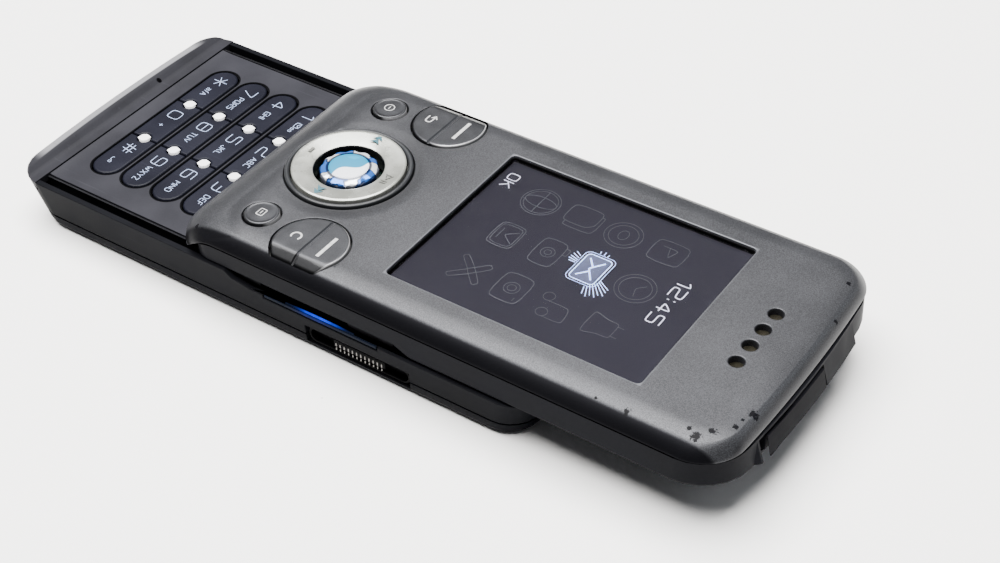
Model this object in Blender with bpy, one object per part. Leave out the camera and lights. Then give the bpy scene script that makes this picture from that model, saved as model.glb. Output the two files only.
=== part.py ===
"""A slider phone, slid open: a keypad base and an upper half that rides on two hooked rails.

Lengths are in metres. +X is the right side of the phone seen from its screen, +Y points to the
earpiece and +Z out of the screen. The origin is the middle of the flat back that the phone lies on.
"""

import math

import bmesh
import bpy
from mathutils import Vector

# Overall size of the base and of the closed phone
BASE_WIDTH = 0.0476
BASE_LENGTH = 0.0987
PHONE_THICKNESS = 0.0140
BASE_CORNER = 0.0048
END_BOW = 0.0008
LOW_END_RAKE = 0.0033
TOP_END_RAKE = 0.0021
SIDE_DRAFT = 0.0006
SLIDE_TRAVEL = 0.0290

# Gaps and cutter overrun
SEAM = 0.00025
RUNNING = 0.00030
HAIRLINE = 0.00005
OVERRUN = 0.0010

# Walls of the base
BACK_WALL = 0.0009
BACK_EDGE = 0.0012
BACK_SEAM_HEIGHT = 0.0025
BULKHEAD = 0.0004
RIM_WALL = 0.00102
END_WALL = 0.0016
LEDGE_WIDTH = 0.00218
LEDGE_STEP = 0.00035
RIM_HIGH = 0.0082
RIM_LOW = 0.00665
RIM_STEP_Y = -0.0052
RIM_STEP_LENGTH = 0.0047
RIM_STEP_SHOULDER = 0.0014
RIM_STEP_SHOULDER_HEIGHT = 0.0010
WELL_SIDE = 0.0025
WELL_END = 0.0042

# Stack inside the base
BATTERY_THICK = 0.0029
BATTERY_WIDTH = 0.0340
BATTERY_LENGTH = 0.0480
BATTERY_END_GAP = 0.00515
BOARD_THICK = 0.0005
DOME_SHEET_THICK = 0.00015
DOME_RADIUS = 0.0017
DOME_HEIGHT = 0.0003
GUIDE_THICK = 0.00025
GUIDE_HOLE_RADIUS = 0.0020

# Keypad
CHIN_DEPTH = 0.0053
CHIN_THICK = 0.0011
CHIN_EDGE = 0.0011
CHIN_CREST = 0.0093
CHIN_LEDGE = 0.0012
CHIN_RISE_LENGTH = 0.0023
CHIN_INNER_TOP = 0.0083
GROOVE_WIDTH = 0.00203
FASCIA_THICK = 0.0008
FASCIA_SKIRT = 0.0005
FASCIA_TOP = 0.0081
FASCIA_SWEEP_LENGTH = 0.0022
FASCIA_SWEEP_RISE = 0.00015
ROW_PITCH = 0.00635
LOW_ROW_SETBACK = 0.00625
KEY_MARGIN = 0.0042
ROW_HALF_HEIGHT = 0.0029
KEY_GAP = 0.0003
KEY_TRAVEL = 0.0003
KEY_CAP_DEPTH = 0.0011
KEY_PROUD = 0.0001
KEY_BEVEL = 0.00018
LIGHT_POST_RADIUS = 0.0009
PLUNGER_RADIUS = 0.0010

# Rails and the carriage that hooks under them
RAIL_THICK = 0.00035
RAIL_FLANGE_THICK = 0.0004
RAIL_DROP = 0.00005
HOOK_THICK = 0.0003
HOOK_OVERLAP = 0.0002
LEG_THICK = 0.00035
CARRIAGE_THICK = 0.0004
CARRIAGE_LOW_SETBACK = 0.0047
CARRIAGE_TOP_GAP = 0.0007
SHOE_LOW_LENGTH = 0.0120
SHOE_TOP_LENGTH = 0.0080
SHOE_RELIEF = 0.0006
TONGUE_MARGIN = 0.00075
TONGUE_SETBACK = 0.0019
FLEX_SLOT_WIDTH = 0.0130
FLEX_SLOT_LOW_GAP = 0.0092
FLEX_SLOT_TOP_GAP = 0.0080
SCREW_HEAD_RADIUS = 0.00105
SCREW_SHANK_RADIUS = 0.00045
SCREW_HEAD_DEPTH = 0.0003
SCREW_LENGTH = 0.0011
CARRIAGE_SCREW_SETBACK = 0.00325
CARRIAGE_SCREW_LOW_GAP = 0.0037
CARRIAGE_SCREW_TOP_GAP = 0.0035

# Deck of the base under the screen half
DECK_THICK = 0.0005
DECK_CORNER = 0.0030
DECK_SLOT_WIDTH = 0.0140
DECK_SLOT_Y = 0.0150
DECK_SLOT_LENGTH = 0.0030
DECK_SCREW_SETBACK = 0.00375
DECK_SCREW_END_GAP = 0.00735

# Side fittings of the base
CONNECTOR_LOW_Y = 0.0095
CONNECTOR_WIDTH = 0.0188
CONNECTOR_BOTTOM = 0.0010
CONNECTOR_TOP = 0.0042
CONNECTOR_DEPTH = 0.0022
CONNECTOR_WALL = 0.0003
CONNECTOR_CORNER = 0.0012
TONGUE_BLOCK_DEPTH = 0.0011
CONTACT_COUNT = 12
CONTACT_PITCH = 0.00077
CONTACT_WIDTH = 0.00042
CONTACT_HEIGHT = 0.0014
CONTACT_THICK = 0.0002
CONTACT_FOOT = 0.0003
LIGHT_LOW_Y = 0.0020
LIGHT_LENGTH = 0.0210
LIGHT_DEPTH = 0.00045
LIGHT_THICK = 0.0003
SIDE_KEY_BOTTOM = 0.0028
SIDE_KEY_TOP = 0.0044
SIDE_KEY_PROUD = 0.0004
SIDE_KEY_FLANGE = 0.0005
SIDE_KEY_FLANGE_GROW = 0.0006
VOLUME_Y = 0.0160
VOLUME_LENGTH = 0.0130
CAMERA_KEY_Y = -0.0260
CAMERA_KEY_LENGTH = 0.0080
CAMERA_X = 0.0090
CAMERA_END_GAP = 0.01185
CAMERA_SIDE = 0.0080
CAMERA_LENS_RADIUS = 0.0030
CAMERA_PANE_THICK = 0.0005
SPEAKER_X = -0.0100
SPEAKER_HALF_LENGTH = 0.0065
SPEAKER_HALF_WIDTH = 0.0042
SPEAKER_SLOT_HALF_LENGTH = 0.0040
SPEAKER_SLOT_HALF_WIDTH = 0.0004
SPEAKER_SLOT_PITCH = 0.0018
MOTOR_RADIUS = 0.0014
MOTOR_LENGTH = 0.0090
MOTOR_X = -0.0060
MOTOR_Y = 0.0200
MICROPHONE_RADIUS = 0.0012
MICROPHONE_X = -0.0074
MICROPHONE_END_GAP = 0.00305
MICROPHONE_HEIGHT = 0.0011

# Upper half: plan of the painted cover
PAD_SETBACK = 0.01625
COVER_SETBACK = 0.0003
COVER_WALL = 0.0009
CHIN_LAP = 0.00085
TOP_OVERHANG = 0.0001
COVER_TOP_BOW = 0.0010
COVER_LOW_CORNER = 0.0058
COVER_TOP_CORNER = 0.0062
SHOULDER_WIDTH = 0.00245
WATERFALL_LENGTH = 0.0070
TOP_SHOULDER_LENGTH = 0.00145
FLAT_LOW_CORNER = 0.0062
FLAT_TOP_CORNER = 0.0048
LIP_HEIGHT = 0.0117
LIP_SWEEP_START = 0.0085
LIP_SWEEP_END = 0.0027

# Upper half: rear shell
SHELL_SETBACK = 0.00015
SHELL_LOW_SETBACK = 0.0033
SHELL_TOP_STEP = 0.00035
SHELL_TOP_FLARE = 0.0003
SHELL_TOP_BOW = 0.0015
SHELL_LOW_CORNER = 0.0040
SHELL_TOP_CORNER = 0.0066
SHELL_CORNER_GROWTH = 0.0007
SHELL_EDGE = 0.0004
SHELL_FLOOR = 0.0005
SHELL_DECK_GAP = 0.00035
LIP_GROOVE = 0.00045
SPIGOT_GAP = 0.00025
SPIGOT_WALL = 0.0005
SPIGOT_RISE = 0.00055
THIN_CLEARANCE = 0.0003
THICK_STEP_GAP = 0.0019
THICK_RAMP = 0.0032
WELL_INSET = 0.0003
WELL_START_GAP = 0.0014
BUMPER_LOW_X = -0.0138
BUMPER_HIGH_X = 0.0154
BUMPER_FLARE = 0.0010
BUMPER_EASE = 0.0008

# Screen
WINDOW_SIDE_MARGIN = 0.00455
WINDOW_HALF_HEIGHT = 0.0210
WINDOW_TOP_GAP = 0.0169
WINDOW_CORNER = 0.0008
WINDOW_CHAMFER = 0.0003
PANE_THICK = 0.0007
PANE_BORDER = 0.0016
DISPLAY_THICK = 0.0013
DISPLAY_BORDER = 0.0012
SLIDER_BOARD_THICK = 0.0005
SLIDER_BOARD_TOP_GAP = 0.00115
SLIDER_BOARD_MARGIN = 0.0025
SLIDER_BOARD_LOW_GAP = 0.0083

# Pad of the upper half
PAD_HOLE_RADIUS = 0.01005
BEZEL_INNER_RADIUS = 0.0089
BEZEL_FLANGE_RADIUS = 0.0106
BEZEL_FLANGE_THICK = 0.00035
BEZEL_PROUD = 0.00045
PAD_RING_RADIUS = 0.00855
PAD_RING_HOLE_RADIUS = 0.0053
PAD_RING_PROUD = 0.0008
PAD_RING_INNER_PROUD = 0.00015
PAD_RING_FLANGE_RADIUS = 0.0092
PAD_RING_FLANGE_THICK = 0.0003
PAD_TILT_GAP = 0.00055
WEB_RADIUS = 0.0074
WEB_HOLE_RADIUS = 0.0062
WEB_THICK = 0.00035
WEB_GAP = 0.00045
CENTRE_KEY_RADIUS = 0.00435
CENTRE_CAP_RADIUS = 0.0030
CENTRE_KEY_PROUD = 0.0007
CENTRE_NECK_RADIUS = 0.0036
CENTRE_FLANGE_RADIUS = 0.0057
CENTRE_FLANGE_THICK = 0.00025
CENTRE_KEY_SKIRT = 0.0009
KEY_STEM_GAP = 0.0004

# Keys beside the pad
ROCKER_SETBACK = 0.00365
ROCKER_RISE = 0.0064
ROCKER_HOLE_RADIUS = 0.0061
ROCKER_SIDE_MARGIN = 0.0015
ROCKER_PROUD = 0.00025
ROCKER_TILT_GAP = 0.00085
ROCKER_GROOVE_WIDTH = 0.00035
ROCKER_GROOVE_DEPTH = 0.00015
ROCKER_FOLD_SETBACK = 0.00185
ROCKER_FOLD_DROP = 0.0006
KEY_FLANGE_THICK = 0.0003
SOFT_KEY_SETBACK = 0.0053
SOFT_KEY_DROP = 0.00405
SOFT_KEY_HOLE_RADIUS = 0.0030
SOFT_KEY_PROUD = 0.0003
SOFT_KEY_STEM_RADIUS = 0.0010

# Earpiece and power key
EARPIECE_TOP_GAP = 0.00833
EARPIECE_PITCH = 0.00376
EARPIECE_HOLE_RADIUS = 0.00112
EARPIECE_HOLES = 4
EARPIECE_HALF_LENGTH = 0.0082
EARPIECE_HALF_WIDTH = 0.0032
EARPIECE_THICK = 0.0016
MESH_THICK = 0.0002
HOLE_CHAMFER = 0.0002
POWER_LOW_X = -0.0030
POWER_HIGH_X = 0.0126
POWER_NOTCH = 0.0013
POWER_HEIGHT = 0.0027
POWER_BASE = 0.0078
POWER_PROUD = 0.00035
POWER_PLATE = 0.0005
POWER_FLANGE = 0.0005
POWER_DEPTH = 0.0036

# Fineness of the curves
CORNER_STEPS = 6
END_STEPS = 6
ROUND_STEPS = 20
SMALL_STEPS = 12
RING_STEPS = 36
EDGE_STEPS = 4
sweep_shares = (0.014, 0.028, 0.045, 0.07, 0.5)
shoulder_tightness_share = 1.5
SHARP_ANGLE = math.radians(32)

# Heights worked out from the sizes above
BATTERY_BOTTOM = BACK_WALL + SEAM
BULKHEAD_BOTTOM = BATTERY_BOTTOM + BATTERY_THICK + SEAM
BULKHEAD_TOP = BULKHEAD_BOTTOM + BULKHEAD
LEDGE_TOP = BULKHEAD_TOP + LEDGE_STEP
BOARD_BOTTOM = BULKHEAD_TOP + SEAM
BOARD_TOP = BOARD_BOTTOM + BOARD_THICK
DOME_SHEET_BOTTOM = BOARD_TOP + SEAM
DOME_SHEET_TOP = DOME_SHEET_BOTTOM + DOME_SHEET_THICK
DOME_TOP = DOME_SHEET_TOP + DOME_HEIGHT
GUIDE_BOTTOM = DOME_SHEET_TOP + SEAM
GUIDE_TOP = GUIDE_BOTTOM + GUIDE_THICK
PLUNGER_BOTTOM = DOME_TOP + KEY_TRAVEL + HAIRLINE
FASCIA_BOTTOM = FASCIA_TOP - FASCIA_THICK
KEY_TOP = FASCIA_TOP + KEY_PROUD
SKIRT_BOTTOM = LEDGE_TOP + SEAM
HOOK_BOTTOM = LEDGE_TOP + RUNNING
HOOK_TOP = HOOK_BOTTOM + HOOK_THICK
FLANGE_BOTTOM = HOOK_TOP + RUNNING
FLANGE_TOP = FLANGE_BOTTOM + RAIL_FLANGE_THICK
DECK_BOTTOM = BOARD_TOP + DECK_THICK
DECK_TOP = DECK_BOTTOM + DECK_THICK
CARRIAGE_BOTTOM = KEY_TOP + RUNNING + HAIRLINE
CARRIAGE_TOP = CARRIAGE_BOTTOM + CARRIAGE_THICK
THIN_FLOOR_BOTTOM = CARRIAGE_TOP + SEAM
THIN_FLOOR_TOP = THIN_FLOOR_BOTTOM + SHELL_FLOOR
THIN_SKIRT_BOTTOM = RIM_HIGH + THIN_CLEARANCE
SHELL_BOTTOM = RIM_LOW + SHELL_DECK_GAP
SHELL_FLOOR_TOP = SHELL_BOTTOM + SHELL_FLOOR
LIP_LOW = CARRIAGE_BOTTOM + HAIRLINE
COVER_INNER = PHONE_THICKNESS - COVER_WALL
PANE_TOP = COVER_INNER - SEAM
PANE_BOTTOM = PANE_TOP - PANE_THICK
DISPLAY_TOP = PANE_BOTTOM - SEAM
DISPLAY_BOTTOM = DISPLAY_TOP - DISPLAY_THICK
SLIDER_BOARD_BOTTOM = THIN_FLOOR_TOP + SEAM
SLIDER_BOARD_TOP = SLIDER_BOARD_BOTTOM + SLIDER_BOARD_THICK
STEM_BOTTOM = SLIDER_BOARD_TOP + KEY_STEM_GAP
BEZEL_FLANGE_TOP = COVER_INNER - SEAM
BEZEL_BOTTOM = BEZEL_FLANGE_TOP - BEZEL_FLANGE_THICK
PAD_FLANGE_TOP = BEZEL_BOTTOM - PAD_TILT_GAP
PAD_RING_BOTTOM = PAD_FLANGE_TOP - PAD_RING_FLANGE_THICK
WEB_TOP = PAD_RING_BOTTOM - WEB_GAP
WEB_BOTTOM = WEB_TOP - WEB_THICK

# Places across the width, worked out from the sizes above
RIM_INNER_X = BASE_WIDTH / 2 - RIM_WALL
LEDGE_INNER_X = RIM_INNER_X - LEDGE_WIDTH
FASCIA_HALF_WIDTH = RIM_INNER_X - GROOVE_WIDTH
ROW_HALF_LENGTH = FASCIA_HALF_WIDTH - KEY_MARGIN
KEY_SPLIT_X = ROW_HALF_LENGTH / 3
RAIL_INNER_X = FASCIA_HALF_WIDTH + SEAM
RAIL_OUTER_X = RAIL_INNER_X + RAIL_THICK
HOOK_INNER_X = RAIL_OUTER_X + RUNNING
FLANGE_OUTER_X = HOOK_INNER_X + HOOK_OVERLAP
LEG_INNER_X = FLANGE_OUTER_X + RUNNING
LEG_OUTER_X = LEG_INNER_X + LEG_THICK
SKIRT_INNER_X = LEG_OUTER_X + RUNNING
WELL_X = BASE_WIDTH / 2 - WELL_SIDE
CARRIAGE_SCREW_X = FASCIA_HALF_WIDTH - CARRIAGE_SCREW_SETBACK
DECK_SCREW_X = FASCIA_HALF_WIDTH - DECK_SCREW_SETBACK
COVER_HALF_WIDTH = BASE_WIDTH / 2 - COVER_SETBACK
FLAT_HALF_WIDTH = COVER_HALF_WIDTH - SHOULDER_WIDTH
SHELL_HALF_WIDTH = COVER_HALF_WIDTH - SHELL_SETBACK
WINDOW_HALF_WIDTH = FLAT_HALF_WIDTH - WINDOW_SIDE_MARGIN
ROCKER_X = FLAT_HALF_WIDTH - ROCKER_SETBACK
ROCKER_SIDE_X = COVER_HALF_WIDTH - ROCKER_SIDE_MARGIN
SOFT_KEY_X = FLAT_HALF_WIDTH - SOFT_KEY_SETBACK

# Places along the length of the base, worked out from the sizes above
BASE_LOW_Y = -BASE_LENGTH / 2
BASE_TOP_Y = BASE_LENGTH / 2
CAVITY_LOW_Y = BASE_LOW_Y + END_WALL
CAVITY_TOP_Y = BASE_TOP_Y - END_WALL
CHIN_Y = BASE_LOW_Y + CHIN_DEPTH
FASCIA_LOW_Y = CHIN_Y + SEAM
RIM_STEP_END_Y = RIM_STEP_Y + RIM_STEP_LENGTH
FASCIA_TOP_Y = RIM_STEP_Y
DECK_LOW_Y = FASCIA_TOP_Y + 2 * SEAM
DECK_TOP_Y = CAVITY_TOP_Y - SEAM
BOARD_LOW_Y = FASCIA_LOW_Y + FASCIA_SKIRT + SEAM
BOARD_HIGH_Y = DECK_TOP_Y - END_WALL
BOARD_HALF_WIDTH = LEDGE_INNER_X - SKIRT_INNER_X + LEG_OUTER_X - SEAM
LOW_ROW_Y = CHIN_Y + LOW_ROW_SETBACK
BATTERY_Y = BASE_LOW_Y + WELL_END + BATTERY_END_GAP + BATTERY_LENGTH / 2
CAMERA_Y = BASE_TOP_Y - CAMERA_END_GAP
SPEAKER_Y = CAMERA_Y
DECK_SCREW_Y = BASE_TOP_Y - DECK_SCREW_END_GAP
MICROPHONE_Y = BASE_LOW_Y + MICROPHONE_END_GAP

# Places along the length of the upper half, slid open by its travel
COVER_LOW_Y = CHIN_Y - CHIN_LAP + SLIDE_TRAVEL
COVER_TOP_Y = BASE_TOP_Y + TOP_OVERHANG + SLIDE_TRAVEL
FLAT_LOW_Y = COVER_LOW_Y + WATERFALL_LENGTH
FLAT_TOP_Y = COVER_TOP_Y - TOP_SHOULDER_LENGTH
LIP_SWEEP_TOP_Y = COVER_LOW_Y + LIP_SWEEP_START
LIP_SWEEP_LOW_Y = COVER_LOW_Y + LIP_SWEEP_END
RING_Y = COVER_LOW_Y + PAD_SETBACK
ROCKER_Y = RING_Y + ROCKER_RISE
SOFT_KEY_Y = RING_Y - SOFT_KEY_DROP
WINDOW_Y = COVER_TOP_Y - WINDOW_TOP_GAP - WINDOW_HALF_HEIGHT
EARPIECE_Y = COVER_TOP_Y - EARPIECE_TOP_GAP
SHELL_LOW_Y = COVER_LOW_Y + SHELL_LOW_SETBACK
SHELL_TOP_Y = COVER_TOP_Y + SHELL_TOP_STEP
THICK_START_Y = RIM_STEP_Y + SLIDE_TRAVEL + THICK_STEP_GAP
TONGUE_LOW_Y = COVER_LOW_Y + TONGUE_SETBACK
CARRIAGE_LOW_Y = COVER_LOW_Y + CARRIAGE_LOW_SETBACK
CARRIAGE_TOP_Y = THICK_START_Y - CARRIAGE_TOP_GAP
CARRIAGE_SCREW_LOW_Y = CARRIAGE_LOW_Y + CARRIAGE_SCREW_LOW_GAP
CARRIAGE_SCREW_TOP_Y = CARRIAGE_TOP_Y - CARRIAGE_SCREW_TOP_GAP
FLEX_SLOT_LOW_Y = CARRIAGE_LOW_Y + FLEX_SLOT_LOW_GAP
FLEX_SLOT_TOP_Y = CARRIAGE_TOP_Y - FLEX_SLOT_TOP_GAP
SLIDER_BOARD_LOW_Y = COVER_LOW_Y + SLIDER_BOARD_LOW_GAP
SLIDER_BOARD_TOP_Y = WINDOW_Y - WINDOW_HALF_HEIGHT - DISPLAY_BORDER - SLIDER_BOARD_TOP_GAP

materials = {}


def material(name, colour, roughness, metallic=0.0):
    """A Principled material, made once for each name."""
    if name not in materials:
        made = bpy.data.materials.new(name)
        made.use_nodes = True
        shader = made.node_tree.nodes["Principled BSDF"]
        shader.inputs["Base Color"].default_value = (*colour, 1.0)
        shader.inputs["Roughness"].default_value = roughness
        shader.inputs["Metallic"].default_value = metallic
        materials[name] = made
    return materials[name]


def black_plastic():
    """Dark moulded plastic of the base and the rear shell."""
    return material("black_plastic", (0.035, 0.036, 0.040), 0.45)


def silver_paint():
    """Satin grey paint of the front cover."""
    return material("silver_paint", (0.24, 0.25, 0.26), 0.38, 0.4)


def keypad_plastic():
    """Charcoal of the keypad panel."""
    return material("keypad_plastic", (0.06, 0.06, 0.068), 0.5)


def key_plastic():
    """Blue-black of the keys."""
    return material("key_plastic", (0.045, 0.045, 0.062), 0.4)


def steel():
    """Stamped steel of the rails, the carriage and the screws."""
    return material("steel", (0.32, 0.32, 0.33), 0.35, 1.0)


def circuit_green():
    """Solder mask of the boards."""
    return material("circuit_green", (0.02, 0.10, 0.05), 0.5)


def plated_plastic():
    """Silver plating of the side keys."""
    return material("plated_plastic", (0.45, 0.46, 0.48), 0.3, 0.8)


def speaker_grey():
    """Plastic frame of the loudspeaker and the earpiece."""
    return material("speaker_grey", (0.2, 0.2, 0.2), 0.5)


def outline(half_width, low, high, low_corner, high_corner, high_bow, low_bow=0.0, shares=(0.5,)):
    """Plan of a rounded rectangle with bowed ends, anticlockwise from its low right corner."""
    points = []

    def corner(centre_x, centre_y, radius, start):
        for step in range(CORNER_STEPS + 1):
            angle = start + math.pi / 2 * step / CORNER_STEPS
            points.append((centre_x + radius * math.cos(angle), centre_y + radius * math.sin(angle)))

    def end(y, x_from, x_to):
        for step in range(1, END_STEPS):
            points.append((x_from + (x_to - x_from) * step / END_STEPS, y))

    def side(x, low_y, high_y, stations):
        for station in stations:
            points.append((x, low_y + (high_y - low_y) * station))

    low_x = half_width - low_corner
    high_x = half_width - high_corner
    corner(low_x, low + low_corner, low_corner, -math.pi / 2)
    side(half_width, low + low_corner, high - high_corner, shares)
    corner(high_x, high - high_corner, high_corner, 0.0)
    end(high, high_x, -high_x)
    corner(-high_x, high - high_corner, high_corner, math.pi / 2)
    side(-half_width, low + low_corner, high - high_corner, reversed(shares))
    corner(-low_x, low + low_corner, low_corner, math.pi)
    end(low, -low_x, low_x)
    middle = (low + high) / 2
    bowed = []
    for x, y in points:
        reach = (x / half_width) ** 2
        bowed.append((x, y - high_bow * reach if y > middle else y + low_bow * reach))
    return bowed


def rounded_rectangle(x, y, half_x, half_y, corner, steps=4):
    """Plan of a rounded rectangle round a centre."""
    points = []
    for index, (sign_x, sign_y) in enumerate(((1, 1), (-1, 1), (-1, -1), (1, -1))):
        for step in range(steps + 1):
            angle = math.pi / 2 * (index + step / steps)
            points.append((
                x + sign_x * (half_x - corner) + corner * math.cos(angle),
                y + sign_y * (half_y - corner) + corner * math.sin(angle),
            ))
    return points


def circle(x, y, radius, steps=ROUND_STEPS):
    """Plan of a circle."""
    turn = 2 * math.pi / steps
    return [(x + radius * math.cos(turn * i), y + radius * math.sin(turn * i)) for i in range(steps)]


def clipped_circle(x, y, radius, side_x, steps=ROUND_STEPS):
    """Plan of a circle at +X whose outer part is cut off straight at side_x."""
    half = math.acos((side_x - x) / radius)
    sweep = 2 * math.pi - 2 * half
    angles = [half + sweep * i / steps for i in range(steps + 1)]
    return [(x + radius * math.cos(angle), y + radius * math.sin(angle)) for angle in angles]


def mirrored(points):
    """The same plan on the other side of the middle, still anticlockwise."""
    return [(-x, y) for x, y in reversed(points)]


def grown(points, amount):
    """An anticlockwise plan moved out along its normals, or in when the amount is negative."""
    moved = []
    count = len(points)
    for index in range(count):
        before = Vector(points[index - 1])
        here = Vector(points[index])
        after = Vector(points[(index + 1) % count])
        first = (here - before).normalized()
        second = (after - here).normalized()
        normal = Vector((first.y + second.y, -first.x - second.x)).normalized()
        spread = max(normal.dot(Vector((first.y, -first.x))), 0.5)
        moved.append(tuple(here + normal * (amount / spread)))
    return moved


def at_height(plan, height):
    """Put a plan at one height, or at the height that a rule of x and y gives."""
    if callable(height):
        return [Vector((x, y, height(x, y))) for x, y in plan]
    return [Vector((x, y, height)) for x, y in plan]


def skin(rings, closed=False):
    """Mesh of a body that passes through rings of equal count, capped unless it is a closed tube."""
    mesh = bmesh.new()
    rows = [[mesh.verts.new(point) for point in ring] for ring in rings]
    pairs = list(zip(rows, rows[1:]))
    if closed:
        pairs.append((rows[-1], rows[0]))
    else:
        mesh.faces.new(rows[0])
        mesh.faces.new(rows[-1])
    for lower, upper in pairs:
        count = len(lower)
        for index in range(count):
            following = (index + 1) % count
            mesh.faces.new((lower[index], lower[following], upper[following], upper[index]))
    bmesh.ops.recalc_face_normals(mesh, faces=mesh.faces)
    return mesh


def prism(plan, bottom, top):
    """Straight body over a plan in XY."""
    return skin([at_height(plan, bottom), at_height(plan, top)])


def box(x_low, x_high, y_low, y_high, z_low, z_high):
    """Straight body between six planes."""
    return prism([(x_low, y_low), (x_high, y_low), (x_high, y_high), (x_low, y_high)], z_low, z_high)


def across(profile, x_low, x_high):
    """Straight body along X over a profile of y and z."""
    return skin([[Vector((x, y, z)) for y, z in profile] for x in (x_low, x_high)])


def along(profile, y_low, y_high):
    """Straight body along Y over a profile of x and z."""
    return skin([[Vector((x, y, z)) for x, z in profile] for y in (y_low, y_high)])


def turned(profile, x, y, steps=ROUND_STEPS, closed=False):
    """Body turned about an upright axis from a profile of radius and height."""
    return skin([at_height(circle(x, y, radius, steps), height) for radius, height in profile], closed)


def to_mesh(name, bodies):
    """One Blender mesh from one or more bmesh bodies."""
    mesh = bpy.data.meshes.new(name)
    joined = bmesh.new()
    for body in bodies:
        body.to_mesh(mesh)
        joined.from_mesh(mesh)
        body.free()
    joined.to_mesh(mesh)
    joined.free()
    return mesh


def node(name, body, finish, origin=(0.0, 0.0, 0.0)):
    """A named sub-part with its origin on its joint's axis, smooth over its curves."""
    mesh = to_mesh(name, [body])
    place = Vector(origin)
    for vertex in mesh.vertices:
        vertex.co = vertex.co - place
    mesh.shade_smooth()
    mesh.set_sharp_from_angle(angle=SHARP_ANGLE)
    mesh.materials.append(finish)
    made = bpy.data.objects.new(name, mesh)
    made.location = place
    bpy.context.scene.collection.objects.link(made)
    return made


def cut(target, *bodies):
    """Cut separate bodies out of a sub-part with one Boolean."""
    cutter = bpy.data.objects.new(target.name + "_cutter", to_mesh("cutter", bodies))
    cutter.display_type = "WIRE"
    cutter.hide_render = True
    bpy.context.scene.collection.objects.link(cutter)
    step = target.modifiers.new("cut", "BOOLEAN")
    step.operation = "DIFFERENCE"
    step.solver = "EXACT"
    step.object = cutter


def join(target, *bodies):
    """Join separate bodies to a sub-part with one Boolean."""
    cut(target, *bodies)
    target.modifiers[-1].name = "join"
    target.modifiers[-1].operation = "UNION"


def base_plan(height, inset=0.0):
    """Plan of the base at a height: its ends rake in towards the back."""
    drop = 1 - height / RIM_HIGH
    return outline(
        BASE_WIDTH / 2 - SIDE_DRAFT * drop - inset,
        BASE_LOW_Y + LOW_END_RAKE * drop + inset,
        BASE_TOP_Y - TOP_END_RAKE * drop - inset,
        BASE_CORNER - inset, BASE_CORNER - inset, END_BOW, END_BOW,
    )


def rear_housing():
    """Base body: side walls, rail ledges and the bulkhead between the battery and the board."""
    heights = (BACK_SEAM_HEIGHT, LEDGE_TOP, RIM_HIGH)
    body = node("rear_housing", skin([at_height(base_plan(z), z) for z in heights]), black_plastic())
    step = [
        (RIM_STEP_Y, PHONE_THICKNESS),
        (RIM_STEP_Y, RIM_HIGH),
        (RIM_STEP_Y + RIM_STEP_SHOULDER, RIM_HIGH - RIM_STEP_SHOULDER_HEIGHT),
        (RIM_STEP_END_Y, RIM_LOW),
        (BASE_TOP_Y + OVERRUN, RIM_LOW),
        (BASE_TOP_Y + OVERRUN, PHONE_THICKNESS),
    ]
    cut(body, across(step, -BASE_WIDTH, BASE_WIDTH))
    chin_floor = FASCIA_TOP - CHIN_THICK - SEAM
    cut(body, box(-BASE_WIDTH, BASE_WIDTH, BASE_LOW_Y - OVERRUN, CHIN_Y, chin_floor, PHONE_THICKNESS))
    corner = BASE_CORNER - END_WALL
    cavity = outline(RIM_INNER_X, CAVITY_LOW_Y, CAVITY_TOP_Y, corner, corner, END_BOW, END_BOW)
    cut(body, prism(cavity, LEDGE_TOP, PHONE_THICKNESS))
    middle = (BOARD_LOW_Y + BOARD_HIGH_Y) / 2
    well = rounded_rectangle(0.0, middle, LEDGE_INNER_X, (BOARD_HIGH_Y - BOARD_LOW_Y) / 2 + SEAM, SEAM)
    cut(body, prism(well, BULKHEAD_TOP, LEDGE_TOP + OVERRUN))
    battery_well = rounded_rectangle(0.0, 0.0, WELL_X, BASE_TOP_Y - WELL_END, BASE_CORNER / 2)
    cut(body, prism(battery_well, BACK_SEAM_HEIGHT - OVERRUN, BULKHEAD_BOTTOM))
    lights = []
    for side in (-1, 1):
        near = side * (BASE_WIDTH / 2 - SIDE_DRAFT / 3 - LIGHT_THICK - SEAM)
        far = side * BASE_WIDTH
        low_x, high_x = min(near, far), max(near, far)
        lights.append(box(low_x, high_x, LIGHT_LOW_Y, LIGHT_LOW_Y + LIGHT_LENGTH,
                          RIM_LOW - LIGHT_DEPTH - SEAM, PHONE_THICKNESS))
    cut(body, *lights)
    cut(body, box(BASE_WIDTH / 2 - CONNECTOR_DEPTH - SEAM - CONNECTOR_WALL, BASE_WIDTH,
                  CONNECTOR_LOW_Y, CONNECTOR_LOW_Y + CONNECTOR_WIDTH, 0.0, CONNECTOR_TOP))
    pockets = []
    for centre, length in ((VOLUME_Y, VOLUME_LENGTH), (CAMERA_KEY_Y, CAMERA_KEY_LENGTH)):
        reach = length / 2 + RUNNING
        pockets.append(box(-BASE_WIDTH, -WELL_X + OVERRUN, centre - reach, centre + reach,
                           SIDE_KEY_BOTTOM - RUNNING, SIDE_KEY_TOP + RUNNING))
    cut(body, *pockets)


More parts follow.
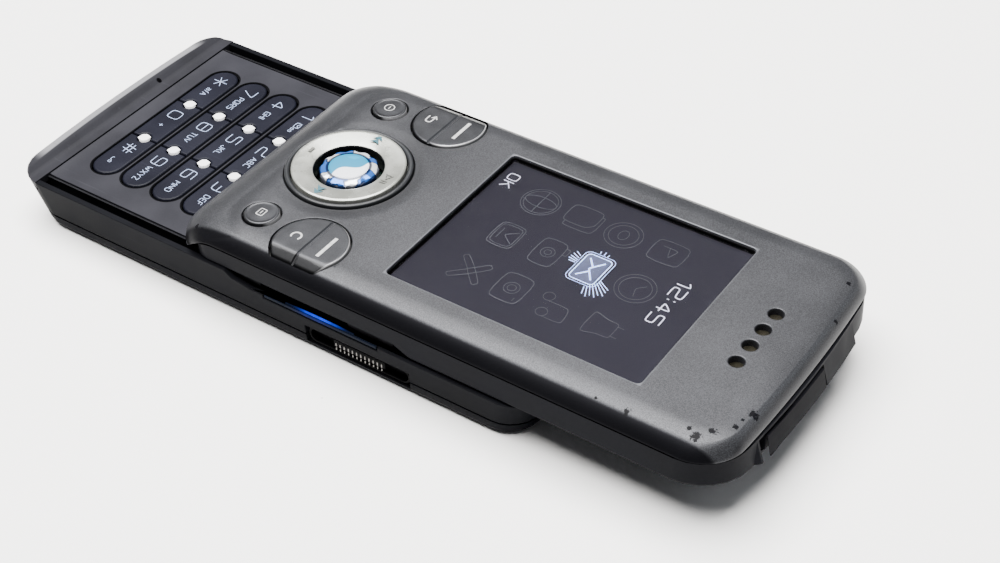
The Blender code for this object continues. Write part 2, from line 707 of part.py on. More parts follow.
def back_cover():
    """Battery cover with a rounded lower edge, its camera hole and its loudspeaker slots."""
    top = BACK_SEAM_HEIGHT - SEAM
    rings = [at_height(base_plan(0.0, BACK_EDGE), 0.0)]
    for step in range(1, EDGE_STEPS + 1):
        angle = math.pi / 2 * step / EDGE_STEPS
        height = BACK_EDGE * (1 - math.cos(angle))
        rings.append(at_height(base_plan(height, BACK_EDGE * (1 - math.sin(angle))), height))
    rings.append(at_height(base_plan(top), top))
    rings.append(at_height(base_plan(top, BACK_WALL), top))
    rings.append(at_height(base_plan(BACK_EDGE, BACK_WALL), BACK_EDGE))
    rings.append(at_height(base_plan(BACK_WALL, BACK_EDGE), BACK_WALL))
    cover = node("back_cover", skin(rings), black_plastic())
    low = CONNECTOR_LOW_Y
    cut(cover, box(BASE_WIDTH / 2 - BACK_EDGE - CONNECTOR_WALL, BASE_WIDTH, low, low + CONNECTOR_WIDTH,
                   CONNECTOR_BOTTOM, BACK_SEAM_HEIGHT + OVERRUN))
    cutters = [prism(circle(CAMERA_X, CAMERA_Y, CAMERA_LENS_RADIUS + SEAM), -OVERRUN, BACK_WALL + OVERRUN)]
    for row in (-1, 0, 1):
        slot = rounded_rectangle(SPEAKER_X, SPEAKER_Y + row * SPEAKER_SLOT_PITCH, SPEAKER_SLOT_HALF_LENGTH,
                                 SPEAKER_SLOT_HALF_WIDTH, SPEAKER_SLOT_HALF_WIDTH)
        cutters.append(prism(slot, -OVERRUN, BACK_WALL + OVERRUN))
    cut(cover, *cutters)


def chin_cap():
    """End cap below the keypad, with a rounded outer edge and a microphone hole."""
    bottom = FASCIA_TOP - CHIN_THICK
    rings = [at_height(base_plan(bottom), bottom)]
    for step in range(EDGE_STEPS + 1):
        angle = math.pi / 2 * step / EDGE_STEPS
        height = CHIN_CREST - CHIN_EDGE * (1 - math.sin(angle))
        rings.append(at_height(base_plan(RIM_HIGH, CHIN_EDGE * (1 - math.cos(angle))), height))
    cap = node("chin_cap", skin(rings), keypad_plastic())
    cut(cap, box(-BASE_WIDTH, BASE_WIDTH, CHIN_Y, BASE_LENGTH, 0.0, PHONE_THICKNESS))
    slope = [(CHIN_Y + OVERRUN, PHONE_THICKNESS), (CHIN_Y + OVERRUN, CHIN_INNER_TOP)]
    for step in range(EDGE_STEPS + 3):
        along_slope = step / (EDGE_STEPS + 2)
        rise = (1 - math.cos(math.pi * along_slope)) / 2
        slope.append((CHIN_Y - CHIN_LEDGE - CHIN_RISE_LENGTH * along_slope,
                      CHIN_INNER_TOP + (CHIN_CREST - CHIN_INNER_TOP) * rise))
    slope.append((slope[-1][0], PHONE_THICKNESS))
    cut(cap, across(slope, -BASE_WIDTH, BASE_WIDTH))
    cut(cap, prism(circle(MICROPHONE_X, MICROPHONE_Y, CONTACT_WIDTH), 0.0, PHONE_THICKNESS))


def keypad_fascia():
    """Keypad panel: a shallow tray turned over, with a slot for each row of keys."""
    half = FASCIA_HALF_WIDTH
    profile = [(FASCIA_LOW_Y, SKIRT_BOTTOM), (FASCIA_TOP_Y, SKIRT_BOTTOM), (FASCIA_TOP_Y, FASCIA_TOP)]
    for step in range(EDGE_STEPS + 1):
        back = 1 - step / EDGE_STEPS
        profile.append((FASCIA_LOW_Y + FASCIA_SWEEP_LENGTH * back,
                        FASCIA_TOP + FASCIA_SWEEP_RISE * (1 - back) ** 2))
    panel = node("keypad_fascia", across(profile, -half, half), keypad_plastic())
    inner = half - FASCIA_SKIRT
    cut(panel, box(-inner, inner, FASCIA_LOW_Y + FASCIA_SKIRT, FASCIA_TOP_Y - FASCIA_SKIRT,
                   0.0, FASCIA_BOTTOM))
    cut(panel, box(-inner, inner, FASCIA_TOP_Y - ROW_HALF_HEIGHT, BASE_LENGTH, 0.0, GUIDE_TOP + SEAM))
    slots = []
    for row in range(4):
        y = LOW_ROW_Y + row * ROW_PITCH
        plan = rounded_rectangle(0.0, y, ROW_HALF_LENGTH, ROW_HALF_HEIGHT, ROW_HALF_HEIGHT, 6)
        slots.append(prism(plan, 0.0, PHONE_THICKNESS))
    cut(panel, *slots)


def key_plan(row_y, column):
    """Plan of a key: a part of its row's slot, notched round the light posts beside it."""
    half_height = ROW_HALF_HEIGHT - KEY_GAP
    half_length = ROW_HALF_LENGTH - KEY_GAP
    notch = LIGHT_POST_RADIUS + KEY_GAP
    rim = KEY_GAP / 2
    reach = math.acos(rim / notch)
    points = []

    def round_end(side):
        centre = side * (half_length - half_height)
        for step in range(9):
            angle = math.pi / 2 * (2 * step / 8 - 1)
            if side < 0:
                angle += math.pi
            points.append((centre + half_height * math.cos(angle), row_y + half_height * math.sin(angle)))

    def notched_end(side, split_x):
        points.append((split_x - side * rim, row_y - side * half_height))
        for step in range(7):
            angle = reach * (2 * step / 6 - 1)
            points.append((split_x - side * notch * math.cos(angle),
                           row_y + side * notch * math.sin(angle)))
        points.append((split_x - side * rim, row_y + side * half_height))

    if column == 1:
        round_end(1)
    else:
        notched_end(1, KEY_SPLIT_X if column == 0 else -KEY_SPLIT_X)
    if column == -1:
        round_end(-1)
    else:
        notched_end(-1, -KEY_SPLIT_X if column == 0 else KEY_SPLIT_X)
    return points


def keys():
    """Twelve keys with plungers over the domes, three in each slot."""
    names = (("key_star", "key_0", "key_hash"), ("key_7", "key_8", "key_9"),
             ("key_4", "key_5", "key_6"), ("key_1", "key_2", "key_3"))
    outer_x = (ROW_HALF_LENGTH + KEY_SPLIT_X) / 2
    for row, row_names in enumerate(names):
        y = LOW_ROW_Y + row * ROW_PITCH
        for column, name in zip((-1, 0, 1), row_names):
            x = column * outer_x
            plan = key_plan(y, column)
            foot = []
            for point in plan:
                angle = math.atan2(point[1] - y, point[0] - x)
                foot.append((x + PLUNGER_RADIUS * math.cos(angle), y + PLUNGER_RADIUS * math.sin(angle)))
            bottom = KEY_TOP - KEY_CAP_DEPTH
            rings = [
                at_height(foot, PLUNGER_BOTTOM),
                at_height(foot, bottom),
                at_height(plan, bottom),
                at_height(plan, KEY_TOP - KEY_BEVEL),
                at_height(grown(plan, -KEY_BEVEL), KEY_TOP),
            ]
            node(name, skin(rings), key_plastic(), (x, y, KEY_TOP))


def dome_places():
    """Centres of the twelve domes, under the keys' plungers."""
    outer_x = (ROW_HALF_LENGTH + KEY_SPLIT_X) / 2
    rows = [LOW_ROW_Y + row * ROW_PITCH for row in range(4)]
    return [(column * outer_x, y) for y in rows for column in (-1, 0, 1)]


def keypad_sheets():
    """Sheet of domes on the board, and the clear sheet whose posts light the gaps between the keys."""
    half = BOARD_HALF_WIDTH
    low = BOARD_LOW_Y
    high = FASCIA_TOP_Y - SEAM
    domes = node("dome_sheet", box(-half, half, low, high, DOME_SHEET_BOTTOM, DOME_SHEET_TOP),
                 material("dome_film", (0.55, 0.56, 0.58), 0.4, 0.6))
    bumps = []
    for x, y in dome_places():
        profile = ((DOME_RADIUS, DOME_SHEET_BOTTOM + DOME_SHEET_THICK / 2), (DOME_RADIUS, DOME_SHEET_TOP),
                   (DOME_RADIUS / 2, DOME_TOP))
        bumps.append(turned(profile, x, y, SMALL_STEPS))
    join(domes, *bumps)
    guide = node("key_light_guide",
                 box(-half, half, low, high - FASCIA_SKIRT - SEAM, GUIDE_BOTTOM, GUIDE_TOP),
                 material("clear_light", (0.86, 0.90, 0.96), 0.25))
    cut(guide, *[prism(circle(x, y, GUIDE_HOLE_RADIUS, SMALL_STEPS), 0.0, PHONE_THICKNESS)
                 for x, y in dome_places()])
    posts = []
    for row in range(4):
        y = LOW_ROW_Y + row * ROW_PITCH
        for side in (-1, 1):
            profile = ((LIGHT_POST_RADIUS, GUIDE_BOTTOM + GUIDE_THICK / 2),
                       (LIGHT_POST_RADIUS, KEY_TOP - KEY_BEVEL), (LIGHT_POST_RADIUS - KEY_BEVEL, KEY_TOP))
            posts.append(turned(profile, side * KEY_SPLIT_X, y, SMALL_STEPS))
    join(guide, *posts)


def rails():
    """Steel rails: an upright web with a flange that the carriage hooks under."""
    for side, name in ((-1, "rail_left"), (1, "rail_right")):
        profile = [
            (RAIL_INNER_X, SKIRT_BOTTOM), (RAIL_OUTER_X, SKIRT_BOTTOM),
            (RAIL_OUTER_X, FLANGE_BOTTOM), (FLANGE_OUTER_X, FLANGE_BOTTOM),
            (FLANGE_OUTER_X, FLANGE_TOP), (RAIL_OUTER_X, FLANGE_TOP),
            (RAIL_OUTER_X, FASCIA_TOP - RAIL_DROP), (RAIL_INNER_X, FASCIA_TOP - RAIL_DROP),
        ]
        body = along([(side * x, z) for x, z in profile], FASCIA_LOW_Y, DECK_TOP_Y - BASE_CORNER)
        rail = node(name, body, steel())
        cut(rail, box(-BASE_WIDTH, BASE_WIDTH, RIM_STEP_Y, BASE_LENGTH, FLANGE_TOP, PHONE_THICKNESS))


def deck_plate():
    """Plate over the board where the thick end of the upper half slides, with its two screws."""
    half = FASCIA_HALF_WIDTH
    plan = outline(half, DECK_LOW_Y, DECK_TOP_Y, DECK_CORNER, DECK_CORNER, END_BOW)
    plate = node("deck_plate", prism(plan, SKIRT_BOTTOM, DECK_TOP), black_plastic())
    inner = half - FASCIA_SKIRT
    cut(plate, box(-inner, inner, -BASE_LENGTH, BOARD_HIGH_Y + SEAM, 0.0, DECK_BOTTOM))
    slot_end = DECK_SLOT_LENGTH / 2
    slot = rounded_rectangle(0.0, DECK_SLOT_Y, DECK_SLOT_WIDTH / 2, slot_end, slot_end)
    holes = [prism(slot, 0.0, PHONE_THICKNESS)]
    head_floor = DECK_TOP - SCREW_HEAD_DEPTH
    for side, name in ((-1, "deck_screw_left"), (1, "deck_screw_right")):
        x = side * DECK_SCREW_X
        holes.append(turned((
            (SCREW_SHANK_RADIUS + SEAM, 0.0), (SCREW_SHANK_RADIUS + SEAM, head_floor - SEAM),
            (SCREW_HEAD_RADIUS + SEAM, head_floor - SEAM), (SCREW_HEAD_RADIUS + SEAM, PHONE_THICKNESS),
        ), x, DECK_SCREW_Y, SMALL_STEPS))
        screw = turned((
            (SCREW_SHANK_RADIUS, BOARD_TOP + SEAM), (SCREW_SHANK_RADIUS, head_floor),
            (SCREW_HEAD_RADIUS, head_floor), (SCREW_HEAD_RADIUS, DECK_TOP),
        ), x, DECK_SCREW_Y, SMALL_STEPS)
        node(name, screw, steel())
    cut(plate, *holes)


def inside_base():
    """Battery, board, loudspeaker, camera, motor and microphone."""
    half = BATTERY_WIDTH / 2
    plan = rounded_rectangle(0.0, BATTERY_Y, half, BATTERY_LENGTH / 2, BATTERY_THICK / 2, 3)
    node("battery", prism(plan, BATTERY_BOTTOM, BATTERY_BOTTOM + BATTERY_THICK),
         material("battery_wrap", (0.10, 0.11, 0.13), 0.5))
    middle = (BOARD_LOW_Y + BOARD_HIGH_Y) / 2
    board = rounded_rectangle(0.0, middle, BOARD_HALF_WIDTH, (BOARD_HIGH_Y - BOARD_LOW_Y) / 2, BACK_EDGE, 3)
    node("main_board", prism(board, BOARD_BOTTOM, BOARD_TOP), circuit_green())
    top = BULKHEAD_BOTTOM - SEAM
    speaker = rounded_rectangle(SPEAKER_X, SPEAKER_Y, SPEAKER_HALF_LENGTH, SPEAKER_HALF_WIDTH, DOME_RADIUS)
    node("loudspeaker", prism(speaker, BATTERY_BOTTOM, top), speaker_grey())
    camera = rounded_rectangle(CAMERA_X, CAMERA_Y, CAMERA_SIDE / 2, CAMERA_SIDE / 2, BACK_EDGE, 2)
    node("camera_module", prism(camera, BATTERY_BOTTOM, top), black_plastic())
    pane = (CAMERA_LENS_RADIUS, BATTERY_BOTTOM - SEAM - CAMERA_PANE_THICK), (CAMERA_LENS_RADIUS, BACK_WALL)
    node("camera_window", turned(pane, CAMERA_X, CAMERA_Y),
         material("dark_glass", (0.02, 0.02, 0.03), 0.05))
    motor_z = BATTERY_BOTTOM + MOTOR_RADIUS
    rings = []
    for x in (MOTOR_X - MOTOR_LENGTH / 2, MOTOR_X + MOTOR_LENGTH / 2):
        ring = circle(MOTOR_Y, motor_z, MOTOR_RADIUS, SMALL_STEPS)
        rings.append([Vector((x, y, z)) for y, z in ring])
    node("vibration_motor", skin(rings), steel())
    capsule = ((MICROPHONE_RADIUS, SKIRT_BOTTOM), (MICROPHONE_RADIUS, SKIRT_BOTTOM + MICROPHONE_HEIGHT))
    node("microphone", turned(capsule, MICROPHONE_X, MICROPHONE_Y, SMALL_STEPS), steel())


def connector():
    """Side socket: a shell with a tongue block and a comb of contacts on it."""
    outer_x = BASE_WIDTH / 2 - SIDE_DRAFT - SEAM
    inner_x = BASE_WIDTH / 2 - CONNECTOR_DEPTH
    low = CONNECTOR_LOW_Y + SEAM
    high = CONNECTOR_LOW_Y + CONNECTOR_WIDTH - SEAM
    bottom = CONNECTOR_BOTTOM + SEAM
    top = CONNECTOR_TOP - SEAM
    middle = (low + high) / 2

    def plate(y_half, z_low, z_high, x_low, x_high):
        corner = min(CONNECTOR_CORNER, (z_high - z_low) / 2)
        plan = rounded_rectangle(middle, (z_low + z_high) / 2, y_half, (z_high - z_low) / 2, corner, 3)
        return skin([[Vector((x, y, z)) for y, z in plan] for x in (x_low, x_high)])

    half = (high - low) / 2
    shell = node("connector_shell", plate(half, bottom, top, inner_x, outer_x), black_plastic())
    wall = CONNECTOR_WALL
    cut(shell, plate(half - wall, bottom + wall, top - wall, inner_x + wall, outer_x + OVERRUN))
    comb_half = (CONTACT_COUNT - 1) * CONTACT_PITCH / 2 + CONTACT_WIDTH
    contact_low = (bottom + top - CONTACT_HEIGHT) / 2
    face_x = inner_x + wall / 2 + TONGUE_BLOCK_DEPTH
    join(shell, box(inner_x + wall / 2, face_x, middle - comb_half, middle + comb_half,
                    contact_low + CONTACT_FOOT / 2, contact_low + CONTACT_HEIGHT))
    comb_x = face_x + SEAM
    bar = box(comb_x, comb_x + CONTACT_THICK, middle - comb_half, middle + comb_half,
              contact_low, contact_low + CONTACT_HEIGHT)
    comb = node("connector_contacts", bar, material("gold", (0.83, 0.72, 0.45), 0.3, 1.0))
    gaps = []
    for index in range(CONTACT_COUNT - 1):
        centre = middle + (index - (CONTACT_COUNT - 2) / 2) * CONTACT_PITCH
        half_gap = (CONTACT_PITCH - CONTACT_WIDTH) / 2
        gaps.append(box(comb_x - OVERRUN, comb_x + OVERRUN, centre - half_gap, centre + half_gap,
                        contact_low + CONTACT_FOOT, PHONE_THICKNESS))
    cut(comb, *gaps)


def side_fittings():
    """Light strips in the low rim, and the keys of the side that faces away."""
    glow = material("light_strip", (0.10, 0.32, 0.85), 0.2)
    for side, name in ((-1, "side_light_left"), (1, "side_light_right")):
        far = side * (BASE_WIDTH / 2 - SIDE_DRAFT / 3)
        near = far - side * LIGHT_THICK
        low = LIGHT_LOW_Y + SEAM
        high = LIGHT_LOW_Y + LIGHT_LENGTH - SEAM
        node(name, box(min(near, far), max(near, far), low, high, RIM_LOW - LIGHT_DEPTH, RIM_LOW), glow)
    face = -BASE_WIDTH / 2 - SIDE_KEY_PROUD
    root = -WELL_X + RUNNING + SIDE_KEY_FLANGE
    top = BULKHEAD_BOTTOM - SEAM
    for name, centre, length in (("volume_rocker", VOLUME_Y, VOLUME_LENGTH),
                                 ("camera_key", CAMERA_KEY_Y, CAMERA_KEY_LENGTH)):
        low_z, high_z = SIDE_KEY_BOTTOM, SIDE_KEY_TOP
        plan = rounded_rectangle(centre, (low_z + high_z) / 2, length / 2, (high_z - low_z) / 2,
                                 (high_z - low_z) / 3, 3)
        domed = rounded_rectangle(centre, (low_z + high_z) / 2, length / 2 - RUNNING,
                                  (high_z - low_z) / 2 - RUNNING, (high_z - low_z) / 6, 3)
        rings = [[Vector((x, y, z)) for y, z in ring] for x, ring in (
            (face, domed), (face + RUNNING, plan), (root - SIDE_KEY_FLANGE / 2, plan))]
        key = node(name, skin(rings), plated_plastic(), (-BASE_WIDTH / 2, centre, (low_z + high_z) / 2))
        grow = length / 2 + SIDE_KEY_FLANGE_GROW
        flange = box(root - SIDE_KEY_FLANGE, root, centre - grow, centre + grow, low_z, top - RUNNING)
        join(key, flange)


def lip_height(x, y):
    """Height of the front cover's lower edge, which sweeps down at its low end."""
    share = (LIP_SWEEP_TOP_Y - y) / (LIP_SWEEP_TOP_Y - LIP_SWEEP_LOW_Y)
    share = min(max(share, 0.0), 1.0)
    return LIP_LOW + (LIP_HEIGHT - LIP_LOW) * math.cos(math.pi / 2 * share)


def shoulder(wall, steps):
    """Rings of the cover's shoulder, from its lower edge up to the flat face, moved in by a wall."""
    lip = outline(COVER_HALF_WIDTH - wall, COVER_LOW_Y + wall, COVER_TOP_Y - wall,
                  COVER_LOW_CORNER - wall, COVER_TOP_CORNER - wall, COVER_TOP_BOW, shares=sweep_shares)
    flat = outline(FLAT_HALF_WIDTH - wall / 2, FLAT_LOW_Y + wall / 2, FLAT_TOP_Y - wall / 2,
                   FLAT_LOW_CORNER - wall / 2, FLAT_TOP_CORNER - wall / 2, COVER_TOP_BOW,
                   shares=sweep_shares)
    rings = []
    for step in range(steps + 1):
        angle = math.pi / 2 * step / steps
        ring = []
        for (lip_x, lip_y), (flat_x, flat_y) in zip(lip, flat):
            low = lip_height(lip_x, lip_y)
            fullness = 1 + (shoulder_tightness_share - 1) * (low - LIP_LOW) / (LIP_HEIGHT - LIP_LOW)
            inward = 1 - max(math.cos(angle), 0.0) ** fullness
            ring.append(Vector((
                lip_x + (flat_x - lip_x) * inward,
                lip_y + (flat_y - lip_y) * inward,
                low + (PHONE_THICKNESS - wall - low) * math.sin(angle) ** fullness,
            )))
        rings.append(ring)
    return rings


def flared_hole(plan, chamfer):
    """Cutter for a hole through the cover whose upper edge is broken."""
    return skin([
        at_height(plan, COVER_INNER - OVERRUN),
        at_height(plan, PHONE_THICKNESS - chamfer),
        at_height(grown(plan, chamfer), PHONE_THICKNESS),
        at_height(grown(plan, chamfer), PHONE_THICKNESS + OVERRUN),
    ])


def earpiece_places():
    """Centres of the earpiece holes."""
    middle = (EARPIECE_HOLES - 1) / 2
    return [((index - middle) * EARPIECE_PITCH, EARPIECE_Y) for index in range(EARPIECE_HOLES)]


def front_cover():
    """Painted cover: flat face, rounded shoulders and a low end that falls to the keypad."""
    outside = shoulder(0.0, EDGE_STEPS + 2)
    inside = shoulder(COVER_WALL, EDGE_STEPS)
    cover = node("front_cover", skin(list(reversed(outside)) + inside), silver_paint())
    window = rounded_rectangle(0.0, WINDOW_Y, WINDOW_HALF_WIDTH, WINDOW_HALF_HEIGHT, WINDOW_CORNER, 3)
    holes = [
        flared_hole(window, WINDOW_CHAMFER),
        prism(circle(0.0, RING_Y, PAD_HOLE_RADIUS, RING_STEPS), COVER_INNER - OVERRUN,
              PHONE_THICKNESS + OVERRUN),
    ]
    for place in (rocker_plan(0.0), mirrored(rocker_plan(0.0))):
        holes.append(prism(place, COVER_INNER - 2 * OVERRUN, PHONE_THICKNESS + OVERRUN))
    for side in (-1, 1):
        plan = circle(side * SOFT_KEY_X, SOFT_KEY_Y, SOFT_KEY_HOLE_RADIUS)
        holes.append(prism(plan, COVER_INNER - OVERRUN, PHONE_THICKNESS + OVERRUN))
    for x, y in earpiece_places():
        holes.append(flared_hole(circle(x, y, EARPIECE_HOLE_RADIUS, SMALL_STEPS), HOLE_CHAMFER))
    cut(cover, *holes)


def end_plan(low_x, high_x, front_y, root_y, ease=0.0):
    """Plan whose front follows the bow of the shell's top end, with its front corners eased."""
    front = []
    for step in range(END_STEPS + 1):
        x = high_x - ease + (low_x - high_x + 2 * ease) * step / END_STEPS
        front.append((x, front_y - SHELL_TOP_BOW * (x / SHELL_HALF_WIDTH) ** 2))
    plan = [(low_x, root_y), (high_x, root_y)] + front
    if ease > 0:
        plan.insert(2, (high_x, front[0][1] - ease))
        plan.append((low_x, front[-1][1] - ease))
    return plan


def slider_shell():
    """Rear shell: thin over the keypad, thick under the screen, with ears beside the low end."""
    def plan(inset, height):
        drop = (LIP_HEIGHT - height) / (LIP_HEIGHT - SHELL_BOTTOM)
        return outline(SHELL_HALF_WIDTH - inset, SHELL_LOW_Y + inset,
                       SHELL_TOP_Y + SHELL_TOP_FLARE * drop - inset, SHELL_LOW_CORNER - inset,
                       SHELL_TOP_CORNER + SHELL_CORNER_GROWTH * drop - inset,
                       SHELL_TOP_BOW, shares=sweep_shares)

    def groove(x, y):
        return lip_height(x, y) - LIP_GROOVE

    def spigot(x, y):
        return lip_height(x, y) + SPIGOT_RISE - LIP_GROOVE

    def collar(inset):
        reach = COVER_WALL + SPIGOT_GAP + inset
        return outline(COVER_HALF_WIDTH - reach, SHELL_LOW_Y + reach, COVER_TOP_Y - reach,
                       SHELL_LOW_CORNER - reach, COVER_TOP_CORNER - reach, COVER_TOP_BOW,
                       shares=sweep_shares)

    rings = [
        at_height(plan(SHELL_EDGE, SHELL_BOTTOM), SHELL_BOTTOM),
        at_height(plan(SHELL_EDGE / 4, SHELL_BOTTOM), SHELL_BOTTOM + SHELL_EDGE / 4),
        at_height(plan(0.0, SHELL_BOTTOM), SHELL_BOTTOM + SHELL_EDGE),
        at_height(plan(0.0, LIP_HEIGHT), groove),
        at_height(collar(0.0), groove),
        at_height(collar(0.0), spigot),
        at_height(collar(SPIGOT_WALL), spigot),
        at_height(collar(SPIGOT_WALL), THIN_FLOOR_TOP),
    ]
    body = skin(rings)
    bmesh.ops.triangulate(body, faces=body.faces)
    shell = node("slider_shell", body, black_plastic())
    bumper_root = SHELL_TOP_Y - END_WALL
    bumper_front = SHELL_TOP_Y + BUMPER_FLARE
    power_top = POWER_BASE + POWER_HEIGHT + RUNNING
    join(shell, skin([at_height(end_plan(BUMPER_LOW_X, BUMPER_HIGH_X, front, bumper_root, BUMPER_EASE), height)
                      for front, height in ((bumper_front - SHELL_EDGE, SHELL_BOTTOM + HAIRLINE),
                                            (bumper_front, SHELL_BOTTOM + SHELL_EDGE),
                                            (SHELL_TOP_Y, power_top + HAIRLINE))]))
    low = SHELL_LOW_Y - OVERRUN
    ramp_end = THICK_START_Y + THICK_RAMP
    thin = [(low, 0.0), (ramp_end + OVERRUN, 0.0), (ramp_end, SHELL_BOTTOM),
            (THICK_START_Y, THIN_SKIRT_BOTTOM), (low, THIN_SKIRT_BOTTOM)]
    cut(shell, across(thin, -BASE_WIDTH, BASE_WIDTH))
    pocket_top = CARRIAGE_TOP_Y + RUNNING
    cut(shell, box(-SKIRT_INNER_X, SKIRT_INNER_X, low, pocket_top, 0.0, THIN_FLOOR_BOTTOM))
    ear_x = COVER_HALF_WIDTH - COVER_WALL - SPIGOT_GAP + HAIRLINE
    cut(shell, box(-ear_x, ear_x, low, SLIDER_BOARD_LOW_Y - SEAM, 0.0, PHONE_THICKNESS))
    well_low = ramp_end + WELL_START_GAP
    well_high = COVER_TOP_Y - COVER_WALL - SPIGOT_GAP - SPIGOT_WALL - WELL_INSET
    well_x = COVER_HALF_WIDTH - COVER_WALL - SPIGOT_GAP - SPIGOT_WALL - WELL_INSET
    well = outline(well_x, well_low, well_high, COVER_TOP_CORNER / 2, COVER_TOP_CORNER, COVER_TOP_BOW)
    cut(shell, prism(well, SHELL_FLOOR_TOP, THIN_FLOOR_TOP + OVERRUN))
    power_low, power_high = POWER_LOW_X - RUNNING, POWER_HIGH_X + RUNNING + POWER_NOTCH
    cut(shell, box(power_low, power_high, well_high - END_WALL, BASE_LENGTH, POWER_BASE - RUNNING, power_top))
    sill_front = bumper_front - POWER_PLATE - 2 * RUNNING - SHELL_TOP_BOW * (power_high / SHELL_HALF_WIDTH) ** 2
    cut(shell, box(power_low, power_high, sill_front, BASE_LENGTH, 0.0, POWER_BASE))
    cut(shell, *[prism(circle(x, y, SCREW_SHANK_RADIUS + SEAM, SMALL_STEPS), 0.0, PHONE_THICKNESS)
                 for x, y in carriage_screw_places()])


def carriage_screw_places():
    """Centres of the four screws that hold the carriage to the rear shell."""
    rows = (CARRIAGE_SCREW_LOW_Y, CARRIAGE_SCREW_TOP_Y)
    return [(side * CARRIAGE_SCREW_X, y) for side in (-1, 1) for y in rows]


def slide_carriage():
    """Bent steel plate whose four shoes reach down the grooves and hook under the rails."""
    section = [
        (HOOK_INNER_X, HOOK_BOTTOM), (LEG_OUTER_X, HOOK_BOTTOM), (LEG_OUTER_X, CARRIAGE_TOP),
        (-LEG_OUTER_X, CARRIAGE_TOP), (-LEG_OUTER_X, HOOK_BOTTOM), (-HOOK_INNER_X, HOOK_BOTTOM),
        (-HOOK_INNER_X, HOOK_TOP), (-LEG_INNER_X, HOOK_TOP), (-LEG_INNER_X, CARRIAGE_BOTTOM),
        (LEG_INNER_X, CARRIAGE_BOTTOM), (LEG_INNER_X, HOOK_TOP), (HOOK_INNER_X, HOOK_TOP),
    ]
    carriage = node("slide_carriage", along(section, CARRIAGE_LOW_Y, CARRIAGE_TOP_Y), steel())
    clear_low = CARRIAGE_LOW_Y + SHOE_LOW_LENGTH
    clear_high = CARRIAGE_TOP_Y - SHOE_TOP_LENGTH
    notch_x = LEG_INNER_X - SHOE_RELIEF
    cut(carriage, *[box(min(side * notch_x, side * BASE_WIDTH), max(side * notch_x, side * BASE_WIDTH),
                        clear_low, clear_high, 0.0, PHONE_THICKNESS) for side in (-1, 1)])
    half = FASCIA_HALF_WIDTH - TONGUE_MARGIN
    join(carriage, box(-half, half, TONGUE_LOW_Y, CARRIAGE_LOW_Y + OVERRUN, CARRIAGE_BOTTOM, CARRIAGE_TOP))
    slot = rounded_rectangle(0.0, (FLEX_SLOT_LOW_Y + FLEX_SLOT_TOP_Y) / 2, FLEX_SLOT_WIDTH / 2,
                             (FLEX_SLOT_TOP_Y - FLEX_SLOT_LOW_Y) / 2, OVERRUN)
    holes = [prism(slot, 0.0, PHONE_THICKNESS)]
    head_floor = CARRIAGE_BOTTOM + SCREW_HEAD_DEPTH
    for x, y in carriage_screw_places():
        holes.append(prism(circle(x, y, SCREW_HEAD_RADIUS + SEAM, SMALL_STEPS), 0.0, PHONE_THICKNESS))
    cut(carriage, *holes)
    for index, (x, y) in enumerate(carriage_screw_places()):
        screw = turned((
            (SCREW_HEAD_RADIUS, CARRIAGE_BOTTOM), (SCREW_HEAD_RADIUS, head_floor),
            (SCREW_SHANK_RADIUS, head_floor), (SCREW_SHANK_RADIUS, CARRIAGE_BOTTOM + SCREW_LENGTH),
        ), x, y, SMALL_STEPS)
        node("carriage_screw_" + str(index + 1), screw, steel())


def screen():
    """Clear pane under the cover's opening, and the display module below it."""
    pane = rounded_rectangle(0.0, WINDOW_Y, WINDOW_HALF_WIDTH + PANE_BORDER,
                             WINDOW_HALF_HEIGHT + PANE_BORDER, WINDOW_CORNER, 2)
    node("display_window", prism(pane, PANE_BOTTOM, PANE_TOP),
         material("screen_glass", (0.10, 0.09, 0.13), 0.08))
    module = rounded_rectangle(0.0, WINDOW_Y, WINDOW_HALF_WIDTH + DISPLAY_BORDER,
                               WINDOW_HALF_HEIGHT + DISPLAY_BORDER, WINDOW_CORNER, 2)
    node("display_module", prism(module, DISPLAY_BOTTOM, DISPLAY_TOP),
         material("display_back", (0.5, 0.5, 0.5), 0.4, 0.5))
    middle = (SLIDER_BOARD_LOW_Y + SLIDER_BOARD_TOP_Y) / 2
    board = rounded_rectangle(0.0, middle, COVER_HALF_WIDTH - SLIDER_BOARD_MARGIN,
                              (SLIDER_BOARD_TOP_Y - SLIDER_BOARD_LOW_Y) / 2, BACK_EDGE, 3)
    node("slider_board", prism(board, SLIDER_BOARD_BOTTOM, SLIDER_BOARD_TOP), circuit_green())


